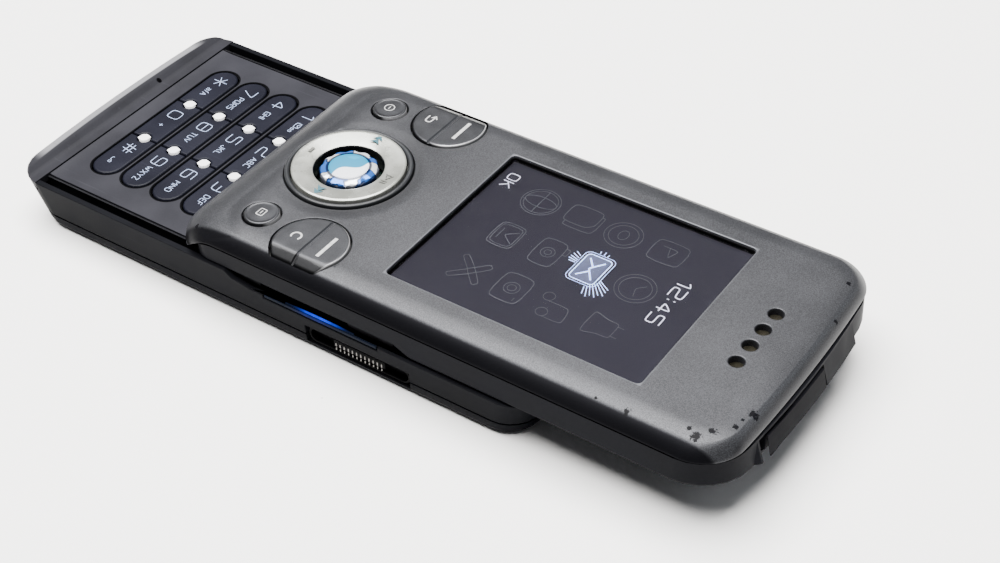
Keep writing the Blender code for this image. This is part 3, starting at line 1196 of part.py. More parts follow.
def pad():
    """Round pad: collar in the cover, tilting ring on its pivot web, and the domed centre key."""
    barrel = PAD_HOLE_RADIUS - SEAM
    collar_top = PHONE_THICKNESS + BEZEL_PROUD
    collar = turned((
        (BEZEL_INNER_RADIUS, BEZEL_BOTTOM), (BEZEL_FLANGE_RADIUS, BEZEL_BOTTOM),
        (BEZEL_FLANGE_RADIUS, BEZEL_FLANGE_TOP), (barrel, BEZEL_FLANGE_TOP),
        (barrel, collar_top - SEAM), (barrel - SEAM, collar_top),
        (BEZEL_INNER_RADIUS + SEAM, collar_top), (BEZEL_INNER_RADIUS, collar_top - SEAM),
    ), 0.0, RING_Y, RING_STEPS, closed=True)
    node("nav_bezel", collar, material("collar_grey", (0.30, 0.31, 0.32), 0.3, 0.6))
    crown = PHONE_THICKNESS + PAD_RING_PROUD
    inner_top = PHONE_THICKNESS + PAD_RING_INNER_PROUD
    ring = turned((
        (PAD_RING_HOLE_RADIUS, PAD_RING_BOTTOM), (PAD_RING_FLANGE_RADIUS, PAD_RING_BOTTOM),
        (PAD_RING_FLANGE_RADIUS, PAD_FLANGE_TOP), (PAD_RING_RADIUS, PAD_FLANGE_TOP),
        (PAD_RING_RADIUS, crown - SEAM), (PAD_RING_RADIUS - SEAM, crown - SEAM / 4),
        (PAD_RING_RADIUS - 2 * SEAM, crown), (PAD_RING_HOLE_RADIUS + 3 * SEAM, inner_top + SEAM),
        (PAD_RING_HOLE_RADIUS, inner_top - SEAM),
    ), 0.0, RING_Y, RING_STEPS, closed=True)
    node("nav_ring", ring, material("pearl", (0.82, 0.83, 0.78), 0.3), (0.0, RING_Y, PAD_FLANGE_TOP))
    web = turned((
        (WEB_HOLE_RADIUS, WEB_BOTTOM), (WEB_RADIUS, WEB_BOTTOM),
        (WEB_RADIUS, WEB_TOP), (WEB_HOLE_RADIUS, WEB_TOP),
    ), 0.0, RING_Y, ROUND_STEPS, closed=True)
    node("nav_web", web, material("rubber", (0.05, 0.05, 0.05), 0.8), (0.0, RING_Y, PAD_FLANGE_TOP))
    rim = PHONE_THICKNESS
    top = PHONE_THICKNESS + CENTRE_KEY_PROUD
    flange = STEM_BOTTOM + CENTRE_FLANGE_THICK / 2
    key = turned((
        (SOFT_KEY_STEM_RADIUS, STEM_BOTTOM), (SOFT_KEY_STEM_RADIUS, flange),
        (CENTRE_FLANGE_RADIUS, flange), (CENTRE_FLANGE_RADIUS, flange + CENTRE_FLANGE_THICK),
        (CENTRE_NECK_RADIUS, flange + CENTRE_FLANGE_THICK), (CENTRE_NECK_RADIUS, rim - CENTRE_KEY_SKIRT),
        (CENTRE_KEY_RADIUS, rim - CENTRE_KEY_SKIRT), (CENTRE_KEY_RADIUS, rim - SEAM),
        (CENTRE_KEY_RADIUS - SEAM, rim + SEAM / 2), (CENTRE_CAP_RADIUS + SEAM, top - SEAM),
        (CENTRE_CAP_RADIUS, top - SEAM / 2), (CENTRE_CAP_RADIUS / 2, top),
    ), 0.0, RING_Y, 28)
    node("centre_key", key, material("chrome", (0.6, 0.7, 0.75), 0.12, 1.0), (0.0, RING_Y, top))


def rocker_plan(inset):
    """Plan of the right rocker's hole, moved in for the key itself."""
    return clipped_circle(ROCKER_X, ROCKER_Y, ROCKER_HOLE_RADIUS - inset, ROCKER_SIDE_X - inset)


def side_keys():
    """Two-way rockers and small round keys on both sides of the pad."""
    rocker_top = PHONE_THICKNESS + ROCKER_PROUD
    flange_top = COVER_INNER - ROCKER_TILT_GAP
    flange_side = ROCKER_SIDE_X - RUNNING + HAIRLINE
    flange_plan = clipped_circle(ROCKER_X, ROCKER_Y, ROCKER_HOLE_RADIUS + RUNNING, flange_side)
    round_top = PHONE_THICKNESS + SOFT_KEY_PROUD
    for side, rocker_name, round_name in ((-1, "rocker_left", "round_key_left"),
                                          (1, "rocker_right", "round_key_right")):
        x = side * ROCKER_X
        plan = rocker_plan(RUNNING)
        bevelled = grown(plan, -RUNNING)
        if side < 0:
            plan, bevelled = mirrored(plan), mirrored(bevelled)
        foot = [(x + (px - x) / 3, ROCKER_Y + (py - ROCKER_Y) / 3) for px, py in plan]
        flange = flange_plan if side > 0 else mirrored(flange_plan)
        rings = [at_height(foot, STEM_BOTTOM), at_height(foot, flange_top - KEY_FLANGE_THICK),
                 at_height(flange, flange_top - KEY_FLANGE_THICK), at_height(flange, flange_top),
                 at_height(plan, flange_top), at_height(plan, rocker_top - RUNNING),
                 at_height(bevelled, rocker_top)]
        rocker = node(rocker_name, skin(rings), silver_paint(), (x, ROCKER_Y, flange_top))
        fold, folded_top = ROCKER_SIDE_X - ROCKER_FOLD_SETBACK, rocker_top - ROCKER_FOLD_DROP
        wedge = [(side * fold, rocker_top), (side * ROCKER_SIDE_X, folded_top),
                 (side * ROCKER_SIDE_X, rocker_top + OVERRUN), (side * fold, rocker_top + OVERRUN)]
        cut(rocker, along(wedge, ROCKER_Y - ROCKER_HOLE_RADIUS, ROCKER_Y + ROCKER_HOLE_RADIUS))
        half = ROCKER_GROOVE_WIDTH / 2
        section = ((-half, -ROCKER_GROOVE_DEPTH), (half, -ROCKER_GROOVE_DEPTH), (half, OVERRUN), (-half, OVERRUN))
        path = ((ROCKER_X - ROCKER_HOLE_RADIUS, rocker_top), (fold, rocker_top), (ROCKER_SIDE_X, folded_top))
        cut(rocker, skin([[Vector((side * px, ROCKER_Y + dy, pz + dz)) for dy, dz in section]
                          for px, pz in path]))
        radius = SOFT_KEY_HOLE_RADIUS - RUNNING
        button = turned((
            (SOFT_KEY_STEM_RADIUS, STEM_BOTTOM), (SOFT_KEY_STEM_RADIUS, flange_top - KEY_FLANGE_THICK),
            (radius + 2 * RUNNING, flange_top - KEY_FLANGE_THICK), (radius + 2 * RUNNING, flange_top),
            (radius, flange_top), (radius, round_top - SEAM), (radius - SEAM, round_top),
            (radius / 2, round_top + SEAM / 3),
        ), side * SOFT_KEY_X, SOFT_KEY_Y)
        node(round_name, button, silver_paint(), (side * SOFT_KEY_X, SOFT_KEY_Y, round_top))


def top_fittings():
    """Earpiece behind its four holes, and the power key in the top end."""
    mesh_top = COVER_INNER - SEAM
    plan = rounded_rectangle(0.0, EARPIECE_Y, EARPIECE_HALF_LENGTH, EARPIECE_HALF_WIDTH,
                             EARPIECE_HALF_WIDTH / 2)
    node("earpiece_mesh", prism(plan, mesh_top - MESH_THICK, mesh_top), steel())
    top = mesh_top - MESH_THICK - SEAM
    node("earpiece", prism(plan, top - EARPIECE_THICK, top), speaker_grey())
    middle_x = (POWER_LOW_X + POWER_HIGH_X) / 2
    low_y, face_y = SHELL_TOP_Y + BUMPER_FLARE, SHELL_TOP_Y + POWER_PROUD
    root_y = face_y - POWER_DEPTH
    top = POWER_BASE + POWER_HEIGHT
    low_plan = end_plan(POWER_LOW_X, POWER_HIGH_X, low_y, low_y - POWER_PLATE)
    high_plan = end_plan(POWER_LOW_X, POWER_HIGH_X, face_y, face_y - POWER_PLATE)
    rings = [at_height(grown(low_plan, -SEAM / 2), SHELL_BOTTOM + SEAM / 2), at_height(low_plan, SHELL_BOTTOM + SEAM),
             at_height(high_plan, top - SEAM / 2), at_height(grown(high_plan, -SEAM / 2), top)]
    key = node("power_key", skin(rings), keypad_plastic(),
               (middle_x, face_y, POWER_BASE + POWER_HEIGHT / 2))
    join(key, prism(end_plan(POWER_LOW_X + HAIRLINE, POWER_HIGH_X - HAIRLINE, face_y - POWER_PLATE / 2, root_y),
                    POWER_BASE, top - SEAM))
    join(key, box(POWER_LOW_X - POWER_FLANGE, POWER_HIGH_X + POWER_NOTCH + POWER_FLANGE,
                  root_y - POWER_FLANGE, root_y + RUNNING, POWER_BASE, top))


def main():
    """Build the phone from its base up."""
    for item in list(bpy.data.objects):
        bpy.data.objects.remove(item, do_unlink=True)
    rear_housing()
    back_cover()
    inside_base()
    connector()
    side_fittings()
    chin_cap()
    keypad_fascia()
    keypad_sheets()
    keys()
    rails()
    deck_plate()
    slide_carriage()
    slider_shell()
    screen()
    front_cover()
    pad()
    side_keys()
    top_fittings()


main()
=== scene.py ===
"""A slider phone, slid open on a pale table.

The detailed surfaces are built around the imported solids. Shapes are worked out in millimetres, in
the frame of the solids: +X is the right side of the phone seen from its screen, +Y points to the
earpiece and +Z out of the screen.
"""

import logging
import math
from collections.abc import Sequence
from dataclasses import dataclass, field
from enum import Enum

import bmesh
import bpy
import numpy as np
from mathutils import Matrix, Vector


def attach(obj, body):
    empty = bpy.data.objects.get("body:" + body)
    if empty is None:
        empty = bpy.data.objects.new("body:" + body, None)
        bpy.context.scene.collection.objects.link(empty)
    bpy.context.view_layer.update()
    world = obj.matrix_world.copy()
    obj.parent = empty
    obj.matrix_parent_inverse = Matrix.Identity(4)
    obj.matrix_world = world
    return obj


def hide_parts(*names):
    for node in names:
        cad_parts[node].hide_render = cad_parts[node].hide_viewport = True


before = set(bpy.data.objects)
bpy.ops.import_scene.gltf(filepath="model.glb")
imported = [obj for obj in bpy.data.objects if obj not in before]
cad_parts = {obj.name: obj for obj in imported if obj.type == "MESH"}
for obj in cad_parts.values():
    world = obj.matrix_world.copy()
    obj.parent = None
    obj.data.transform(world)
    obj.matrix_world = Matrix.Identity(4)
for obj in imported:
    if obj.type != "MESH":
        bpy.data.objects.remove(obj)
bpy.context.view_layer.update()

log = logging.getLogger("slider_phone")

MILLIMETRE = 0.001
MERGED_GAP, FLAT_ANGLE, SHARP_ANGLE = 0.0005, 0.4, 34.0
QUARTER = math.pi / 2
BASE_HALF, BASE_LOW, BASE_BOW = 23.8, -49.35, 0.8
WINDOW_Y, WINDOW_X_HALF, WINDOW_Y_HALF = 40.55, 16.5, 21.0
PAD_Y = 0.35
ROCKER_AT = (17.4, 6.75)
ROUND_KEY_AT = (15.75, -3.7)

Colour = tuple[float, float, float]
Point = tuple[float, float, float]
Line = tuple[np.ndarray, bool]


class Side(Enum):
    """The two sides of the phone, with the sign of X on each."""

    LEFT = -1
    RIGHT = 1


class Body(str, Enum):
    """The two bodies that the phone's halves belong to."""

    BASE = "base"
    SLIDER = "slider"


BASE, SLIDER = Body.BASE.value, Body.SLIDER.value


# ---- plans and patches ----


def arc(x: float, y: float, radius: float, start: float, sweep: float, steps: int) -> np.ndarray:
    """Points of an arc: the centre plus the radius turned through evenly spaced angles.

    Args:
        x, y: Centre.
        radius: Radius of the arc.
        start, sweep: First angle and the angle between the ends, in radians.
        steps: Number of spaces between points.

    Returns:
        Array of steps + 1 rows of x and y.
    """
    angles = start + sweep * np.linspace(0.0, 1.0, steps + 1)
    return np.column_stack((x + radius * np.cos(angles), y + radius * np.sin(angles)))


def circle(x: float, y: float, radius: float, steps: int = 64) -> np.ndarray:
    """Anticlockwise points of a circle, without a doubled last point."""
    return arc(x, y, radius, 0.0, 2 * math.pi, steps)[:-1]


def rounded_rectangle(x: float, y: float, half_x: float, half_y: float, corner: float,
                      steps: int = 8) -> np.ndarray:
    """Anticlockwise plan of a rectangle whose corners are quarter circles.

    Args:
        x, y: Centre.
        half_x, half_y: Half of the width and of the length.
        corner: Radius of the corners.
        steps: Spaces in each corner.

    Returns:
        Rows of x and y.
    """
    reach_x, reach_y = half_x - corner, half_y - corner
    return np.concatenate([
        arc(x + sx * reach_x, y + sy * reach_y, corner, turn * QUARTER, QUARTER, steps)
        for turn, (sx, sy) in enumerate(((1, 1), (-1, 1), (-1, -1), (1, -1)))
    ])


def phone_outline(half: float, low: float, high: float, low_corner: float, high_corner: float,
                  high_bow: float) -> np.ndarray:
    """Plan of a phone half: a rounded rectangle whose high end bows out by a parabola.

    The points along the sides are spaced by even shares to the power 1.7, closest at the low corners.

    Args:
        half: Half of the width.
        low, high: Y of the two ends.
        low_corner, high_corner: Corner radii at the two ends.
        high_bow: Fall of the high end from its middle to the side.

    Returns:
        Rows of x and y, with the same count for every size.
    """
    shares = (np.linspace(0.0, 1.0, 46)[1:-1] ** 1.7)[:, None]
    ends = np.linspace(0.0, 1.0, 22)[1:-1][:, None]
    corners = [
        arc(half - low_corner, low + low_corner, low_corner, -QUARTER, QUARTER, 14),
        arc(half - high_corner, high - high_corner, high_corner, 0.0, QUARTER, 14),
        arc(high_corner - half, high - high_corner, high_corner, QUARTER, QUARTER, 14),
        arc(low_corner - half, low + low_corner, low_corner, math.pi, QUARTER, 14),
    ]
    parts = []
    for index, spans in enumerate((shares, ends, 1 - shares[::-1], ends)):
        last, after = corners[index][-1], corners[(index + 1) % 4][0]
        parts += [corners[index], last + (after - last) * spans]
    plan = np.concatenate(parts)
    upper = plan[:, 1] > (low + high) / 2
    plan[:, 1] -= np.where(upper, high_bow * (plan[:, 0] / half) ** 2, 0.0)
    return plan


def unit(rows: np.ndarray) -> np.ndarray:
    """Rows scaled to length one."""
    return rows / np.maximum(np.linalg.norm(rows, axis=1, keepdims=True), 1e-9)


def plan_normals(plan: np.ndarray) -> np.ndarray:
    """Outward unit normals of an anticlockwise plan: the chord between neighbours, turned."""
    chord = np.roll(plan, -1, axis=0) - np.roll(plan, 1, axis=0)
    return unit(np.column_stack((chord[:, 1], -chord[:, 0])))


def at_height(plan: np.ndarray, height: float | np.ndarray) -> np.ndarray:
    """Rows of x, y and z from a plan and one height, or one height for each point."""
    return np.column_stack((plan, np.broadcast_to(height, len(plan))))


@dataclass
class Patch:
    """A surface as arrays: points in millimetres, four-sided faces and flat caps."""

    points: np.ndarray
    quads: np.ndarray
    caps: list[np.ndarray] = field(default_factory=list)

    @classmethod
    def grid(cls, rows: np.ndarray, loop: bool = False, caps: bool = True) -> "Patch":
        """A grid of rings, each joined to the next.

        Args:
            rows: Array of rings by points by three coordinates.
            loop: Whether the last ring joins the first.
            caps: Whether the first and last rings are closed by flat faces.

        Returns:
            The patch.
        """
        count, width = rows.shape[:2]
        index = np.arange(count * width).reshape(count, width)
        index = np.concatenate((index, index[:, :1]), axis=1)
        if loop:
            index = np.concatenate((index, index[:1]), axis=0)
        quads = np.stack((index[:-1, :-1], index[:-1, 1:], index[1:, 1:], index[1:, :-1]), axis=-1)
        ends = [np.arange(width), (count - 1) * width + np.arange(width)]
        return cls(rows.reshape(-1, 3), quads.reshape(-1, 4), ends if caps and not loop else [])

    @classmethod
    def joined(cls, patches: Sequence["Patch"]) -> "Patch":
        """Several patches as one, with their faces' numbers moved on.

        Args:
            patches: The patches.

        Returns:
            One patch with all their faces.
        """
        starts = np.cumsum([0] + [len(patch.points) for patch in patches[:-1]])
        points = np.concatenate([patch.points for patch in patches])
        quads = np.concatenate([patch.quads + start for patch, start in zip(patches, starts)])
        caps = [cap + start for patch, start in zip(patches, starts) for cap in patch.caps]
        return cls(points, quads, caps)

    def mirrored(self) -> "Patch":
        """The patch on the other side of the middle."""
        return Patch(self.points * np.array([-1.0, 1.0, 1.0]), self.quads, self.caps)

    def mesh(self, name: str) -> bpy.types.Mesh:
        """The patch as a mesh in metres, with its faces pointing outwards.

        Args:
            name: Name of the mesh.

        Returns:
            The mesh.
        """
        made = bpy.data.meshes.new(name)
        faces = self.quads.tolist() + [cap.tolist() for cap in self.caps]
        made.from_pydata((self.points * MILLIMETRE).tolist(), [], faces)
        scratch = bmesh.new()
        scratch.from_mesh(made)
        bmesh.ops.recalc_face_normals(scratch, faces=scratch.faces)
        scratch.to_mesh(made)
        scratch.free()
        return made


def rounding(radius: float, top: float, steps: int) -> list[tuple[float, float]]:
    """Inset and height of the rings of a rounded upper edge: r(1 - cos a) in, r(1 - sin a) down."""
    return [(radius * (1 - math.cos(a)), top - radius * (1 - math.sin(a)))
            for a in np.linspace(0.0, QUARTER, steps + 1)]


def rings_of(plan: np.ndarray, rings: Sequence[tuple[float, float]]) -> np.ndarray:
    """The plan moved in by each inset at each height, as rings."""
    normal = plan_normals(plan)
    return np.stack([at_height(plan - normal * inset, height) for inset, height in rings])


def rounded_slab(plan: np.ndarray, low: float, high: float, top_round: float,
                 foot_round: float = 0.0, steps: int = 1) -> Patch:
    """Body over a plan whose upper and lower edges are quarter circles.

    Args:
        plan: Anticlockwise plan.
        low, high: Heights of the underside and the top.
        top_round, foot_round: Radii of the upper and the lower edge.
        steps: Spaces in each rounded edge.

    Returns:
        The closed patch.
    """
    foot = [(inset, low + (low - height)) for inset, height in rounding(foot_round, low, steps)[::-1]]
    return Patch.grid(rings_of(plan, (foot if foot_round > 0 else [(0.0, low)]) + rounding(top_round, high, steps)))


def turned(profile: Sequence[tuple[float, float]] | np.ndarray, x: float, y: float, steps: int = 96,
           loop: bool = False) -> Patch:
    """Body turned about an upright axis: each radius of the profile swept round at its height.

    Args:
        profile: Radius and height of each ring.
        x, y: Axis.
        steps: Points round the axis.
        loop: Whether the profile closes on itself, as on a ring.

    Returns:
        The closed patch.
    """
    angle = 2 * math.pi * np.arange(steps) / steps
    table = np.asarray(profile, float)
    rows = np.stack((
        x + table[:, :1] * np.cos(angle),
        y + table[:, :1] * np.sin(angle),
        np.broadcast_to(table[:, 1:], (len(table), steps)),
    ), axis=-1)
    return Patch.grid(rows, loop=loop)


def eased(points: Sequence | np.ndarray, closed: bool, cut: float, rounds: int = 2) -> np.ndarray:
    """A line whose corners are cut: each gives way to two points, a share along its sides.

    Args:
        points: Rows of two coordinates.
        closed: Whether the line joins its own start.
        cut: Share in the first round; later rounds take a quarter.
        rounds: How often the corners are cut.

    Returns:
        The rows of the softer line.
    """
    points = np.asarray(points, float)
    for _ in range(rounds):
        after = np.roll(points, -1, axis=0)
        pairs = np.stack((points * (1 - cut) + after * cut, points * cut + after * (1 - cut)), axis=1)
        if closed:
            points = pairs.reshape(-1, 2)
        else:
            inner = pairs[:-1].reshape(-1, 2)
            points = np.concatenate((points[:1], inner[1:-1], points[-1:]))
        cut = 0.25
    return points


def stroke(points: Sequence | np.ndarray, width: float, low: float, high: float, closed: bool = False) -> Patch:
    """A flat-topped line: a rectangle carried along the points, widened at a bend to keep its width.

    Args:
        points: Rows of x and y.
        width: Width of the line.
        low, high: Heights of its underside and its top.
        closed: Whether the line joins its own start.

    Returns:
        The closed patch.
    """
    points = np.asarray(points, float)
    before = points - np.roll(points, 1, axis=0)
    after = np.roll(points, -1, axis=0) - points
    if not closed:
        before[0], after[-1] = after[0], before[-1]
    before, after = unit(before), unit(after)
    normal = unit(np.column_stack((before[:, 1] + after[:, 1], -before[:, 0] - after[:, 0])))
    spread = np.maximum(normal[:, 0] * before[:, 1] - normal[:, 1] * before[:, 0], 0.6)[:, None]
    offset = normal * (width / 2) / spread
    rows = np.stack((
        at_height(points + offset, low), at_height(points - offset, low),
        at_height(points - offset, high), at_height(points + offset, high),
    ), axis=1)
    return Patch.grid(rows, loop=closed, caps=not closed)


def drawn(text: str) -> list[Line]:
    """Lines from a short text: points as x,y, lines parted by |, and @ before a closed line."""
    return [(np.array([[float(part) for part in pair.split(",")] for pair in line.strip("@").split()]),
             line.startswith("@")) for line in text.split("|")]


# ---- finishes ----


def feed(socket: bpy.types.NodeSocket, value: object) -> None:
    """Link a signal to a socket, or set the socket's plain value, opaque where it is a colour.

    Args:
        socket: Input of a node.
        value: Signal, number, vector or colour.
    """
    if isinstance(value, Signal):
        socket.id_data.links.new(value.socket, socket)
    else:
        socket.default_value = (*value, 1.0) if socket.type == "RGBA" else value


def add_node(tree: bpy.types.NodeTree, kind: str, inputs: dict[int | str, object],
             **options: object) -> bpy.types.Node:
    """A shader node with its options set and its inputs fed.

    Args:
        tree: Node tree of the material.
        kind: Type of the node, without its prefix.
        inputs: What each input is fed, by name or number.
        options: Settings of the node.

    Returns:
        The node.
    """
    made = tree.nodes.new("ShaderNode" + kind)
    for key, value in options.items():
        setattr(made, key, value)
    for key, value in inputs.items():
        feed(made.inputs[key], value)
    return made


@dataclass(frozen=True)
class Signal:
    """A value in a material's node tree; arithmetic with it adds Math nodes."""

    socket: bpy.types.NodeSocket

    def math(self, kind: str, other: object = 0.0) -> "Signal":
        """One Math node fed with this value and another."""
        return Signal(add_node(self.socket.id_data, "Math", {0: self, 1: other}, operation=kind).outputs[0])

    def __add__(self, other: object) -> "Signal":
        """Sum of two values."""
        return self.math("ADD", other)

    def __sub__(self, other: object) -> "Signal":
        """Difference of two values."""
        return self.math("SUBTRACT", other)

    def __mul__(self, other: object) -> "Signal":
        """Product of two values."""
        return self.math("MULTIPLY", other)

    def __abs__(self) -> "Signal":
        """The value without its sign."""
        return self.math("ABSOLUTE")

    def most(self, other: "Signal") -> "Signal":
        """The larger of two values."""
        return self.math("MAXIMUM", other)

    def ramp(self, low: float, high: float, to_low: float = 0.0, to_high: float = 1.0,
             smooth: bool = True) -> "Signal":
        """Map one range of the value onto another, held at both ends.

        Args:
            low, high: Range of the value.
            to_low, to_high: Range of the result.
            smooth: Whether the ends are eased.

        Returns:
            The mapped value.
        """
        ranges = {"Value": self, "From Min": low, "From Max": high, "To Min": to_low, "To Max": to_high}
        made = add_node(self.socket.id_data, "MapRange", ranges,
                        interpolation_type="SMOOTHSTEP" if smooth else "LINEAR")
        return Signal(made.outputs["Result"])

    def mix(self, first: object, second: object) -> "Signal":
        """The colour that lies between two others by the share that the value gives.

        Args:
            first: Colour at 0.
            second: Colour at 1.

        Returns:
            The mixed colour.
        """
        made = add_node(self.socket.id_data, "Mix", {"Factor": self}, data_type="RGBA")
        for socket, value in zip([item for item in made.inputs if item.type == "RGBA"], (first, second)):
            feed(socket, value)
        return Signal(next(item for item in made.outputs if item.type == "RGBA"))

    def bump(self, depth: float, under: "Signal | None" = None) -> "Signal":
        """Relief from the value, as a normal for the shader.

        Args:
            depth: Height in millimetres of the value's full range.
            under: Relief that this one lies on.

        Returns:
            The normal.
        """
        inputs = {"Strength": 1.0, "Distance": depth * MILLIMETRE, "Height": self}
        if under is not None:
            inputs["Normal"] = under
        return Signal(add_node(self.socket.id_data, "Bump", inputs).outputs["Normal"])


def distance(across: Signal, along: Signal, x: float, y: float) -> Signal:
    """Distance in the plan from a point."""
    away_x, away_y = across - x, along - y
    return (away_x * away_x + away_y * away_y).math("SQRT")


class NodeSketch:
    """A material's node tree, with short calls for what the finishes start from."""

    def __init__(self, name: str) -> None:
        """Make an empty material with a Principled shader.

        Args:
            name: Name of the material.
        """
        self.material = bpy.data.materials.new(name)
        self.material.use_nodes = True
        self.tree = self.material.node_tree
        self.shader = self.tree.nodes["Principled BSDF"]

    def set(self, **values: object) -> None:
        """Feed the shader's sockets, named with underscores for spaces."""
        for key, value in values.items():
            feed(self.shader.inputs[key.replace("_", " ")], value)

    def place(self, stretch: Point = (1.0, 1.0, 1.0), turn: float = 0.0) -> Signal:
        """Object coordinates in millimetres, stretched and turned about Z.

        Args:
            stretch: Factor on each axis.
            turn: Angle in radians.

        Returns:
            The coordinates.
        """
        source = Signal(add_node(self.tree, "TexCoord", {}).outputs["Object"])
        scale = tuple(part / MILLIMETRE for part in stretch)
        return Signal(add_node(self.tree, "Mapping", {"Vector": source, "Scale": scale,
                                                      "Rotation": (0.0, 0.0, turn)}).outputs["Vector"])

    def axes(self) -> tuple[Signal, Signal, Signal]:
        """The three Object coordinates, in millimetres."""
        split = add_node(self.tree, "SeparateXYZ", {"Vector": self.place()})
        return tuple(Signal(split.outputs[name]) for name in "XYZ")

    def noise(self, size: float, detail: float = 2.0, stretch: Point = (1.0, 1.0, 1.0), turn: float = 0.0,
              rough: float = 0.5) -> Signal:
        """Smooth noise whose features are about the given size in millimetres.

        Args:
            size: Size of the features.
            detail: Number of finer layers.
            stretch: Factor on each axis.
            turn: Angle in radians.
            rough: Share of the finer layers.

        Returns:
            The noise, from 0 to 1.
        """
        inputs = {"Vector": self.place(stretch, turn), "Scale": 1.0 / size, "Detail": detail, "Roughness": rough}
        return Signal(add_node(self.tree, "TexNoise", inputs).outputs["Fac"])


def shade(colour: Colour, factor: float) -> Colour:
    """A colour made lighter or darker by a factor."""
    return tuple(min(part * factor, 1.0) for part in colour)


@dataclass(frozen=True)
class Finish:
    """A material that is built from a few numbers."""

    name: str

    def build(self) -> bpy.types.Material:
        """Make the material.

        Returns:
            The material.
        """
        sketch = NodeSketch(self.name)
        self.paint(sketch)
        return sketch.material

    def paint(self, sketch: NodeSketch) -> None:
        """Set up the shader."""
        raise NotImplementedError


@dataclass(frozen=True)
class MouldedPlastic(Finish):
    """Moulded plastic: grain, marks from handling, fine scratches and, on the chin, a painted highlight: a pale
    strip along its end.
    """

    colour: Colour
    roughness: float = 0.42
    grain: float = 0.12
    depth: float = 0.004
    specular: float = 0.5
    coat: float = 0.0
    sheen_end: float = 0.0
    mottle: float = 0.25
    sheen_colour: Colour = (0.15, 0.15, 0.16)

    def paint(self, sketch: NodeSketch) -> None:
        """Grain and marks over the colour.

        Args:
            sketch: Node tree of the material.
        """
        handling = sketch.noise(9.0, 3.0)
        fine = sketch.noise(self.grain, 1.0)
        marks = sketch.noise(0.5, 2.0, (1.0, 0.03, 1.0), 0.5).ramp(0.66, 0.74) * 0.35
        tone = handling.ramp(0.3, 0.7, 0.0, 0.7) + fine * 0.3
        base = tone.mix(shade(self.colour, 1 - self.mottle), shade(self.colour, 1 + self.mottle))
        # Painted highlight: a pale strip along the chin's sloped outer end, where it catches the light, fading out
        # towards the sides.
        if self.sheen_end > 0:
            across, along, _ = sketch.axes()
            inwards = along - BASE_LOW + across * across * (-BASE_BOW / BASE_HALF ** 2)
            strip = inwards.ramp(self.sheen_end, self.sheen_end + 0.25, 1.0, 0.0)
            base = (strip * abs(across).ramp(17.0, 20.5, 1.0, 0.0)).mix(base, self.sheen_colour)
        sketch.set(Base_Color=marks.mix(base, shade(self.colour, 1.9)),
                   Roughness=handling.ramp(0.25, 0.75, self.roughness - 0.05, self.roughness + 0.07),
                   Specular_IOR_Level=self.specular, Coat_Weight=self.coat, Coat_Roughness=0.2,
                   Normal=fine.bump(self.depth))


